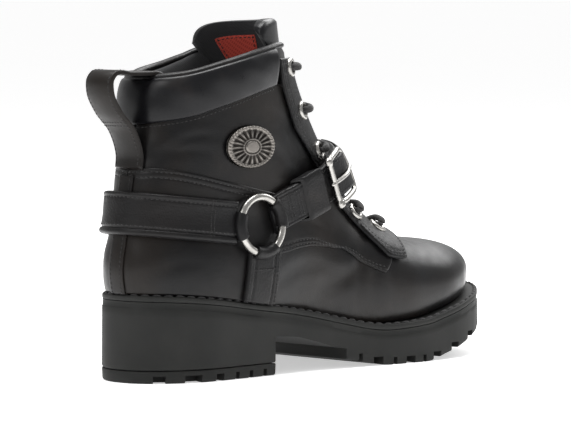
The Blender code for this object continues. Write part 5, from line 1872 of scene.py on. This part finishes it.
    def laces(self) -> None:
        """A bar at the top, and two crossing strands between each two pairs of eyelets."""
        radius = self.lace_width / 2
        over = self.seat + 1.2 * MM + radius
        edge = self.seat + 0.6 * MM + radius
        low = -self.wall - 4 * GAP + radius * 0.8
        holes = {side: self.seats(side, self.eyelet_inset, self.seat - radius) for side in Side}
        tops = {side: self.seats(side, self.eyelet_inset - 1.8 * MM, over) for side in Side}
        rims = {side: self.seats(side, 0.6 * MM, edge) for side in Side}
        bar = []
        for side, order in ((Side.OUTER, 1), (Side.INNER, -1)):
            bar += [holes[side][0], tops[side][0], rims[side][0]][::order]
        self.strand("lace_bar_cord", bar, ["lace_bar"])
        for k in range(len(self.eyelets) - 1):
            for side in Side:
                other = Side(-side.value)
                share, above = self.eyelets[k + 1], self.eyelets[k]
                points = []
                if k + 1 != self.under_strap:
                    points += [holes[side][k + 1], tops[side][k + 1], rims[side][k + 1]]
                lift = 0.0 if side is Side.OUTER else self.lace_width * 0.8
                near, far = (self.last.throat_width * float(self.last.tables["throat"](s))
                             for s in (share, above))
                reach = (side.value * (near - radius), 0.0, other.value * (far - 0.6 * radius),
                         other.value * (far + 2.4 * radius))
                places = (share - 0.025, (share + above) / 2 + 0.01, above + 0.03, above + 0.012)
                levels = (low + 0.4 * lift, low + lift, low, -self.wall - radius)
                points += [self.in_throat(*spot) for spot in zip(places, reach, levels)]
                nodes = [f"lace_crossing_{k + 1}"] if side is Side.OUTER else []
                self.strand(f"lace_strand_{k + 1}_{side.label}", points, nodes)

    def build(self) -> None:
        """Make both stays with their eyelets, the tongue and the laces."""
        for side in Side:
            self.stay(side)
            seats = self.seats(side, self.eyelet_inset, self.seat)
            for number, (seat, out) in enumerate(zip(seats, self.last.normals(seats)), 1):
                self.eyelet(side, number, seat, out)
        self.tongue()
        self.laces()


@dataclass
class Harness:
    """Two rings with the straps that meet in them, and the buckle with its keeper."""

    last: Last
    finishes: Finishes
    thread: Stitching
    station: float = 27 * MM
    ring_height: float = 81.5 * MM
    ring_outer: float = 34 * MM
    ring_wire: float = 4.2 * MM
    ring_lift: float = 6.2 * MM
    heel_width: float = 23 * MM
    heel_tilt: float = math.radians(6.8)
    heel_reach: float = math.radians(66)
    heel_lie: float = 3.0 * MM
    instep_width: float = 20.5 * MM
    instep_tilt: float = math.radians(19.5)
    instep_reach: float = math.radians(72)
    tip_width: float = 21.4 * MM
    tip_turns: tuple = (-33, -3)
    hole_turns: tuple = (-28, -19, -10, -1, 8)
    foot_width: float = 23 * MM
    strap_thickness: float = 3 * MM
    foot_thickness: float = 2.4 * MM
    keeper_turn: float = math.radians(-43)
    keeper_width: float = 11 * MM
    keeper_reach: float = 62 * MM
    buckle_turns: tuple = (math.radians(-34), math.radians(-21))
    buckle_length: float = 29 * MM
    buckle_wire: float = 3.4 * MM
    over_stay: float = 5.6 * MM
    on_wall: float = 1.8 * MM

    def ring_axes(self, side: Side) -> tuple:
        """Centre of a ring, and its directions ahead, up and out.

        Args:
            side: The side of the foot.

        Returns:
            The centre and three unit directions.
        """
        hub = np.array([self.station, 0, self.ring_height])
        centre = self.last.cast(hub, np.array([0, side.value, 0.0]), self.ring_lift)
        out = self.last.normals(centre[None])[0]
        ahead = unit(np.array([1.0, 0, 0]) - out[0] * out)
        up = np.cross(out, ahead)
        return centre, ahead, up if up[2] > 0 else -up, out

    def ring_point(self, side: Side, turn: Array, radius: Array, rise: Array) -> Array:
        """Points about a ring.

        Args:
            side: The side of the foot.
            turn: Turn around the ring from ahead.
            radius: Distance from its centre.
            rise: Height off its plane.

        Returns:
            The points.
        """
        centre, ahead, up, out = self.ring_axes(side)
        spoke = np.cos(turn)[..., None] * ahead + np.sin(turn)[..., None] * up
        return centre + spoke * radius[..., None] + out * rise[..., None]

    def ring(self, side: Side) -> None:
        """Harness ring: a circle carried around a circle.

        Args:
            side: The side of the foot.
        """
        turn = np.linspace(0, 2 * math.pi, 96, endpoint=False)[:, None]
        around = np.linspace(0, 2 * math.pi, 24, endpoint=False)[None]
        wire = self.ring_wire / 2
        radius = (self.ring_outer - self.ring_wire) / 2 + wire * np.cos(around)
        points = self.ring_point(side, turn + 0 * around, radius + 0 * turn,
                                 wire * np.sin(around) + 0 * turn)
        faces = grid_quads(96, 24, around=True, across=True)
        piece = make_piece(f"harness_ring_{side.label}", points, faces, [self.finishes.nickel])
        fit(piece, "nickel", f"ring_{side.label}")

    def sleeve(self, name: str, side: Side, first: float, last: float) -> None:
        """A strap's end folded around the ring: a hollow sleeve, thinned at both ends.

        Args:
            name: The piece's name.
            side: The side of the foot.
            first: Its first angle around the ring, in degrees.
            last: Its last angle.
        """
        turn = np.radians(first + (last - first) * edged(16 * MM, 0.9 * MM))
        near = np.minimum(turn - turn[0], turn[-1] - turn) * self.ring_outer / 2 / (0.9 * MM)
        swell = 0.72 + 0.28 * np.sqrt(1 - (1 - np.clip(near, 0, 1)) ** 2)
        around = np.linspace(0, 2 * math.pi, 22, endpoint=False)[:, None]
        inner = self.ring_wire / 2 + 0.15 * MM
        outer = (inner + 1.25 * MM) * swell[None]
        middle = (self.ring_outer - self.ring_wire) / 2
        loops = []
        for wire, order in ((outer, 1), (np.full_like(outer, inner), -1)):
            turns = turn[None, ::order] + 0 * around
            radius = middle + wire * np.cos(around)
            loops.append(self.ring_point(side, turns, radius, wire * np.sin(around)))
        grid = np.concatenate(loops, 1)
        faces = grid_quads(*grid.shape[:2], around=True, across=True)
        fit(make_piece(name, grid, faces, [self.finishes.strap]), "strap_leather")

    def fan(self, tilt: float, forward: int, turns: Array, offset: Array) -> tuple:
        """Rays in tilted planes through the ring's height.

        Args:
            tilt: Lean of the planes.
            forward: 1 over the instep, -1 behind the heel.
            turns: Turns around from the middle.
            offset: Offsets across the strap.

        Returns:
            Ray starts and directions.
        """
        ahead = np.array([forward * math.cos(tilt), 0, math.sin(tilt)])
        across = np.array([-forward * math.sin(tilt), 0, math.cos(tilt)])
        hub = np.array([self.station, 0, self.ring_height])
        side = np.sin(turns)[..., None] * np.array([0, 1.0, 0])
        return hub + offset[..., None] * across, np.cos(turns)[..., None] * ahead + side

    def band(self, tilt: float, forward: int, reach: float, width: float, lift: Callable,
             thickness: float) -> tuple:
        """A strap wrapped on the form from one reach to the other.

        Args:
            tilt: Lean of its plane.
            forward: 1 over the instep, -1 behind the heel.
            reach: Turn from the middle to each end.
            width: Its width.
            lift: Height of its under face above the form, as a function of the turn.
            thickness: Its thickness.

        Returns:
            The panel, its turns along and its shares across.
        """
        sweep = reach * np.linspace(-1, 1, 241)
        middle = self.last.cast(*self.fan(tilt, forward, sweep, 0 * sweep), lift(sweep))
        run = running(middle)
        along = edged(run[-1], 1.3 * MM)
        turns = np.interp(along * run[-1], run, sweep)
        across = edged(width, 0.9 * MM, 5 * MM)
        grid = np.broadcast_to(turns[:, None], (len(turns), len(across)))
        offset = np.broadcast_to(width * (across - 0.5), grid.shape)
        base = self.last.cast(*self.fan(tilt, forward, grid, offset), lift(grid))
        return Panel(base, self.last.normals(base), thickness, radius=1.2 * MM), turns, across

    def heel_strap(self) -> None:
        """Strap behind the heel: a turned top edge, and a second layer along its lower lip."""
        panel = self.band(self.heel_tilt, -1, self.heel_reach, self.heel_width,
                          lambda turn: self.heel_lie + 0 * turn, self.strap_thickness)[0]
        panel.dent(Border.LOW, 3.9 * MM, 0.9 * MM, 0.5 * MM)
        panel.dent(Border.LOW, 1.9 * MM, -0.3 * MM, 1.3 * MM)
        panel.dent(Border.TOP, 3.0 * MM, 0.35 * MM, 0.5 * MM)
        panel.dent(Border.TOP, 1.2 * MM, -0.15 * MM, 0.9 * MM)
        for border, inset in ((Border.TOP, 3.1), (Border.LOW, 5.0)):
            self.thread.row(*panel.line(border, inset * MM, 0.03, 0.97), pitch=2.6 * MM)
        for place in (15.0, 17.0):
            for border in (Border.START, Border.END):
                self.thread.row(*panel.line(border, place * MM, 0.2, 0.9), pitch=1.2 * MM)
        fit(panel.piece("heel_strap_band", self.finishes.strap), "strap_leather", "heel_strap")
        for side in Side:
            self.sleeve(f"heel_strap_fold_{side.label}", side, 154, 206)

    def instep_lift(self, turns: Array) -> Array:
        """Height of the instep strap's under face: low near the rings, higher over the laces."""
        return np.interp(np.abs(np.degrees(turns)), [36, 56], [self.over_stay, self.on_wall])

    def instep_strap(self) -> None:
        """Strap over the instep, through the buckle, with bar tacks by the rings and holes."""
        panel, turns, across = self.band(self.instep_tilt, 1, self.instep_reach,
                                         self.instep_width, self.instep_lift,
                                         self.strap_thickness)
        middle = (across * self.instep_width - self.instep_width / 2)[None]
        for degrees in self.hole_turns:
            run = (np.degrees(turns) - degrees)[:, None] / 1.6
            panel.height = panel.height - 1.6 * MM * bell(run) * bell(middle / (1.3 * MM))
        for border in (Border.LOW, Border.TOP):
            panel.dent(border, 2.2 * MM, 0.2 * MM, STITCH_CHANNEL)
            self.thread.row(*panel.line(border, 2.2 * MM, 0.14, 0.86), pitch=2.4 * MM)
        for place in (13.0, 15.0, 19.5, 21.5):
            for border in (Border.START, Border.END):
                self.thread.row(*panel.line(border, place * MM, 0.2, 0.8), pitch=1.2 * MM)
        fit(panel.piece("instep_strap_band", self.finishes.strap), "strap_leather", "instep_strap")
        for side in Side:
            self.sleeve(f"instep_strap_fold_{side.label}", side, -6, 52)

    def foot_strap(self, side: Side) -> None:
        """Short strap from a ring down to the welt, stitched around its middle, with a bar tack.

        Args:
            side: The side of the foot.
        """
        high_z = self.ring_height - self.ring_outer / 2 + self.ring_wire
        rows = edged(26 * MM, 0.9 * MM)
        across = edged(self.foot_width, 0.8 * MM, 5 * MM)
        origin = np.zeros((len(rows), len(across), 3))
        spread = self.foot_width * (across[None] - 0.5)
        origin[..., 0] = self.station + 5 * MM + spread - 4 * MM * rows[:, None]
        low_z = self.last.welt_top(origin[..., 0]) + 2 * GAP
        origin[..., 2] = high_z + rows[:, None] * (low_z - high_z)
        base = self.last.cast(origin, np.array([0, side.value, 0.0]), 1.5 * MM)
        panel = Panel(base, self.last.normals(base), self.foot_thickness, radius=1.0 * MM)
        for border in (Border.LOW, Border.TOP):
            panel.dent(border, 4.4 * MM, 0.45 * MM, STITCH_CHANNEL)
            self.thread.row(*panel.line(border, 4.4 * MM, 0.2, 0.97), pitch=2.3 * MM)
            self.thread.row(*panel.line(border, 1.5 * MM, 0.1, 0.97), pitch=2.3 * MM)
        tack = panel.line(Border.START, 11 * MM, 0.25, 0.75)
        self.thread.row(*tack, pitch=1.2 * MM, width=0.9 * MM)
        piece = panel.piece(f"foot_strap_band_{side.label}", self.finishes.strap)
        fit(piece, "strap_leather", f"foot_strap_{side.label}")
        self.sleeve(f"foot_strap_fold_{side.label}", side, 250, 307)

    def strap_point(self, turn: Array, across: Array, above: Array) -> Array:
        """Points over the instep strap.

        Args:
            turn: Turn around from the middle.
            across: Run across the strap.
            above: Height above its face.

        Returns:
            The points.
        """
        turn, across, above = np.broadcast_arrays(turn, across, above)
        level = self.instep_lift(turn) + self.strap_thickness + above
        return self.last.cast(*self.fan(self.instep_tilt, 1, turn, across), level)

    def keeper(self) -> None:
        """Leather loop around the strap: a rounded oblong section, hollow for the strap."""
        around = np.linspace(0, 2 * math.pi, 64, endpoint=False)[:, None]
        half_turn = self.keeper_width / 2 / self.keeper_reach
        shares = 2 * edged(self.keeper_width, 1.0 * MM) - 1
        near = np.clip((1 - np.abs(shares)) * self.keeper_width / 2 / (0.8 * MM), 0, 1)
        swell = 0.55 + 0.45 * np.sqrt(1 - (1 - near) ** 2)
        oblong = (np.abs(np.cos(around)) ** 8 + np.abs(np.sin(around)) ** 8) ** (-1 / 8)
        wide, high = np.cos(around) * oblong, np.sin(around) * oblong
        loops = []
        for leather, order in ((1.5 * MM * swell[None], 1), (0 * shares[None], -1)):
            half = self.instep_width / 2 + 0.5 * MM + leather
            tall = self.strap_thickness / 2 + 0.45 * MM + leather
            turn = self.keeper_turn + half_turn * shares[None]
            above = tall * high - self.strap_thickness / 2
            grid = self.strap_point(turn + 0 * around, half * wide, above)
            loops.append(grid[:, ::order])
        grid = np.concatenate(loops, 1)
        faces = grid_quads(*grid.shape[:2], around=True, across=True)
        piece = make_piece("strap_keeper_loop", grid, faces, [self.finishes.strap])
        fit(piece, "strap_leather", "strap_keeper")

    def tip(self) -> None:
        """Free end of the strap: up through the frame, over its far bar and flat again."""
        degrees = np.linspace(*self.tip_turns, 46)[:, None]
        across = self.tip_width * (edged(self.tip_width, 0.9 * MM) - 0.5)[None]
        base = self.strap_point(np.radians(degrees), across, 0.05 * MM)
        rise = 0.5 * MM + 3.1 * MM * bell((degrees + 22.5) / 6.5) ** 0.8
        panel = Panel(base, self.last.normals(base), rise + 0 * across, radius=1.6 * MM)
        for border in (Border.LOW, Border.TOP):
            self.thread.row(*panel.line(border, 2.2 * MM, 0.1, 0.95), pitch=2.4 * MM)
        fit(panel.piece("instep_strap_tip", self.finishes.strap), "strap_leather")

    def rod(self, name: str, turns: Array, across: Array, above: Array, width: Any, height: Any,
            nodes: Sequence = (), closed: bool = False) -> None:
        """One metal rod of the buckle, along places on the strap.

        Args:
            name: The piece's name.
            turns: Turns around from the middle, along the rod.
            across: Runs across the strap.
            above: Heights above its face.
            width: Full width of the rod.
            height: Full height.
            nodes: The solids that it stands for.
            closed: True where it joins up with itself.
        """
        path = self.strap_point(turns, across, above)
        taper = 1 if closed else rounded_ends(len(path), 0.06)
        piece = tube(name, path, self.last.normals(path), width * taper, height * taper,
                     self.finishes.nickel, sides=18, closed=closed)
        fit(piece, "nickel", *nodes)

    def buckle(self) -> None:
        """Rounded frame around the strap, a flat bar with T ends, and the prong over it."""
        first, last = self.buckle_turns
        half = (self.buckle_length - self.buckle_wire) / 2
        seat = GAP + self.buckle_wire / 2
        angle = np.linspace(0, 2 * math.pi, 120, endpoint=False)
        oblong = (np.abs(np.cos(angle)) ** 5 + np.abs(np.sin(angle)) ** 5) ** (-1 / 5)
        turns = (first + last) / 2 + (last - first) / 2 * np.cos(angle) * oblong
        across = half * np.sin(angle) * oblong
        crown = 0.5 * MM * np.cos(angle) ** 2
        self.rod("buckle_frame", turns, across, seat + crown, self.buckle_wire,
                 self.buckle_wire * 0.8, ["buckle"], closed=True)
        bar = np.linspace(-1, 1, 60) * (half + 2.0 * MM)
        ends = ease((np.abs(bar) - half + 2.4 * MM) / (0.8 * MM))
        wide = 3.3 * MM + 2.2 * MM * ends
        self.rod("buckle_bar", np.full(60, first - 0.012), bar, np.full(60, seat + 0.9 * MM), wide,
                 3.0 * MM + 0.8 * MM * ends)
        place = np.linspace(last + 0.03, first - 0.05, 50)
        rise = seat + 1.2 * MM + 1.4 * MM * np.sin(np.linspace(0, math.pi, 50)) ** 2
        self.rod("buckle_prong_pin", place, 0 * place, rise, 2.3 * MM, 2.1 * MM)

    def build(self) -> None:
        """Make the rings, the straps with their folds, the keeper and the buckle."""
        for side in Side:
            self.ring(side)
            self.foot_strap(side)
        self.heel_strap()
        self.instep_strap()
        self.keeper()
        self.tip()
        self.buckle()


@dataclass
class Concho:
    """Generic oval ornament: a roped rim around a fluted dome."""

    last: Last
    finishes: Finishes
    length: float = 34 * MM
    height: float = 23 * MM
    station: float = 24 * MM
    rise: float = 123 * MM

    def relief(self, share: Array, turn: Array) -> Array:
        """Height in mm: a rope of beads at the rim, flutes inside it and a boss in the middle.

        Args:
            share: Share from the middle to the rim.
            turn: Turn around the oval.

        Returns:
            The height at each place.
        """
        rope = bell((share - 0.91) / 0.07) * (1.0 + 0.35 * np.cos(40 * turn + 14 * share))
        dome = 1.2 * np.sqrt(np.clip(1 - share ** 2, 0, 1)) * (share < 0.99)
        flutes = 0.34 * np.cos(20 * turn) * bell((share - 0.62) / 0.17)
        boss = 0.75 * ease((0.30 - share) / 0.06)
        ring = 0.30 * bell((share - 0.36) / 0.03)
        return 0.5 + dome + flutes + boss + ring + rope * 0.95

    def build(self) -> None:
        """Raise the relief over the oval and darken its hollows."""
        hub = np.array([self.station, 0, self.rise])
        seat = self.last.cast(hub, np.array([0, -1.0, 0]), 0.7 * MM)
        out = self.last.normals(seat[None])[0]
        ahead = unit(np.array([1.0, 0, 0]) - out[0] * out)
        up = np.cross(ahead, out)
        up = up if up[2] > 0 else -up
        share = np.concatenate([np.linspace(0.02, 0.99, 54), [1.0]])[:, None]
        turn = np.linspace(0, 2 * math.pi, 240, endpoint=False)[None]
        tall = self.relief(share, turn)
        tall[-1] = 0.35
        spoke = (self.length / 2 * np.cos(turn)[..., None] * ahead
                 + self.height / 2 * np.sin(turn)[..., None] * up)
        face = seat + share[..., None] * spoke + out * (tall * MM)[..., None]
        back = seat + spoke + out * -0.5 * MM
        grid = np.concatenate([face, back])
        rows, columns = grid.shape[:2]
        faces = grid_quads(rows, columns, across=True).tolist()
        faces += [list(range(columns)), list(range((rows - 1) * columns, rows * columns))]
        piece = make_piece("concho_oval", grid, faces, [self.finishes.antique])
        plain = 0.5 + 1.2 * np.sqrt(np.clip(1 - share ** 2, 0, 1)) + 0.45
        hollow = np.clip((plain - tall) / 0.6, 0, 1)
        values = np.concatenate([hollow.ravel(), np.zeros(columns)]).astype(np.float32)
        layer = piece.data.attributes.new("hollow", "FLOAT", "POINT")
        layer.data.foreach_set("value", values)
        fit(piece, "nickel", "concho")


@dataclass
class Studio:
    """Pale floor, soft lights and the camera at the photograph's angle."""

    finishes: Finishes
    heading: float = math.radians(43)
    pitch: float = 0.065
    away: float = 2.2
    aim: tuple = (0.078, 0.0, 0.090)
    lit: tuple = (0.08, 0.0, 0.08)
    focal_px: float = 4027.6
    sensor: float = 36.0
    floor_reach: float = 34.0
    middle_px: tuple = (272.7, 201.2)
    fill: float = 0.50
    lamps: tuple = (("overhead", (0.10, 0.10, 1.4), (1.0, 0.7), 26),
                    ("beyond_toe", (1.15, 0.20, 0.90), (1.3, 0.5), 11),
                    ("left", (-1.5, -0.2, 1.2), (0.5, 0.7), 6))

    def floor(self) -> None:
        """Wide level plane, so far out that its end is above the picture."""
        x = np.linspace(-1, 1, 60)[:, None] * self.floor_reach
        y = np.linspace(-1, 1, 60)[None] * self.floor_reach
        points = np.stack([x + 0 * y, y + 0 * x, 0 * x * y], -1)
        points[..., 2] -= 0.02 * MM
        piece = make_piece("studio_floor", points, grid_quads(60, 60), [self.finishes.floor])

    def light(self, name: str, place: tuple, size: tuple, power: float) -> None:
        """One soft box aimed at the middle of the boot.

        Args:
            name: Its name.
            place: Where it hangs.
            size: Its width and height.
            power: Its watts.
        """
        lamp = bpy.data.lights.new(name, "AREA")
        lamp.shape = "RECTANGLE"
        lamp.size, lamp.size_y = size
        lamp.energy = power
        piece = bpy.data.objects.new(name, lamp)
        piece.location = place
        turn = (Vector(self.lit) - Vector(place)).to_track_quat("-Z", "Y")
        piece.rotation_euler = turn.to_euler()
        bpy.context.scene.collection.objects.link(piece)

    def camera(self) -> None:
        """Camera at the photograph's angle, with its shift to the photograph's frame."""
        ahead = Vector((math.cos(self.pitch) * math.cos(self.heading),
                        math.cos(self.pitch) * math.sin(self.heading), -math.sin(self.pitch)))
        lens = bpy.data.cameras.new("photo_camera")
        lens.sensor_width = self.sensor
        lens.lens = self.focal_px * self.sensor / PHOTO_SIZE[0]
        lens.shift_x = (PHOTO_SIZE[0] / 2 - self.middle_px[0]) / PHOTO_SIZE[0]
        lens.shift_y = -(PHOTO_SIZE[1] / 2 - self.middle_px[1]) / PHOTO_SIZE[0]
        lens.clip_start, lens.clip_end = 0.05, 50
        piece = bpy.data.objects.new("photo_camera", lens)
        piece.location = Vector(self.aim) - self.away * ahead
        piece.rotation_euler = ahead.to_track_quat("-Z", "Y").to_euler()
        bpy.context.scene.collection.objects.link(piece)
        bpy.context.scene.camera = piece

    def build(self) -> None:
        """Lay the floor, hang the lights and set the camera."""
        self.floor()
        world = bpy.data.worlds.new("studio")
        world.use_nodes = True
        background = world.node_tree.nodes["Background"]
        background.inputs["Color"].default_value = (1, 1, 1, 1)
        background.inputs["Strength"].default_value = self.fill
        bpy.context.scene.world = world
        bpy.context.scene.view_settings.view_transform = "Standard"
        for lamp in self.lamps:
            self.light(*lamp)
        self.camera()


def main() -> None:
    """Build every sub-assembly in order and report each piece."""
    logging.basicConfig(level=logging.INFO, format="%(name)s: %(message)s")
    last = Last()
    finishes = Finishes()
    thread = Stitching()
    Sole(last, finishes).build()
    Upper(last, finishes, thread).build()
    Collar(last, finishes, thread).build()
    Lacing(last, finishes, thread).build()
    Harness(last, finishes, thread).build()
    Concho(last, finishes).build()
    fit(thread.piece("upper_stitches", finishes.thread), "lace_cord")
    Studio(finishes).build()
    LOG.info("stitches: %d", thread.count)


if __name__ == "__main__":
    main()
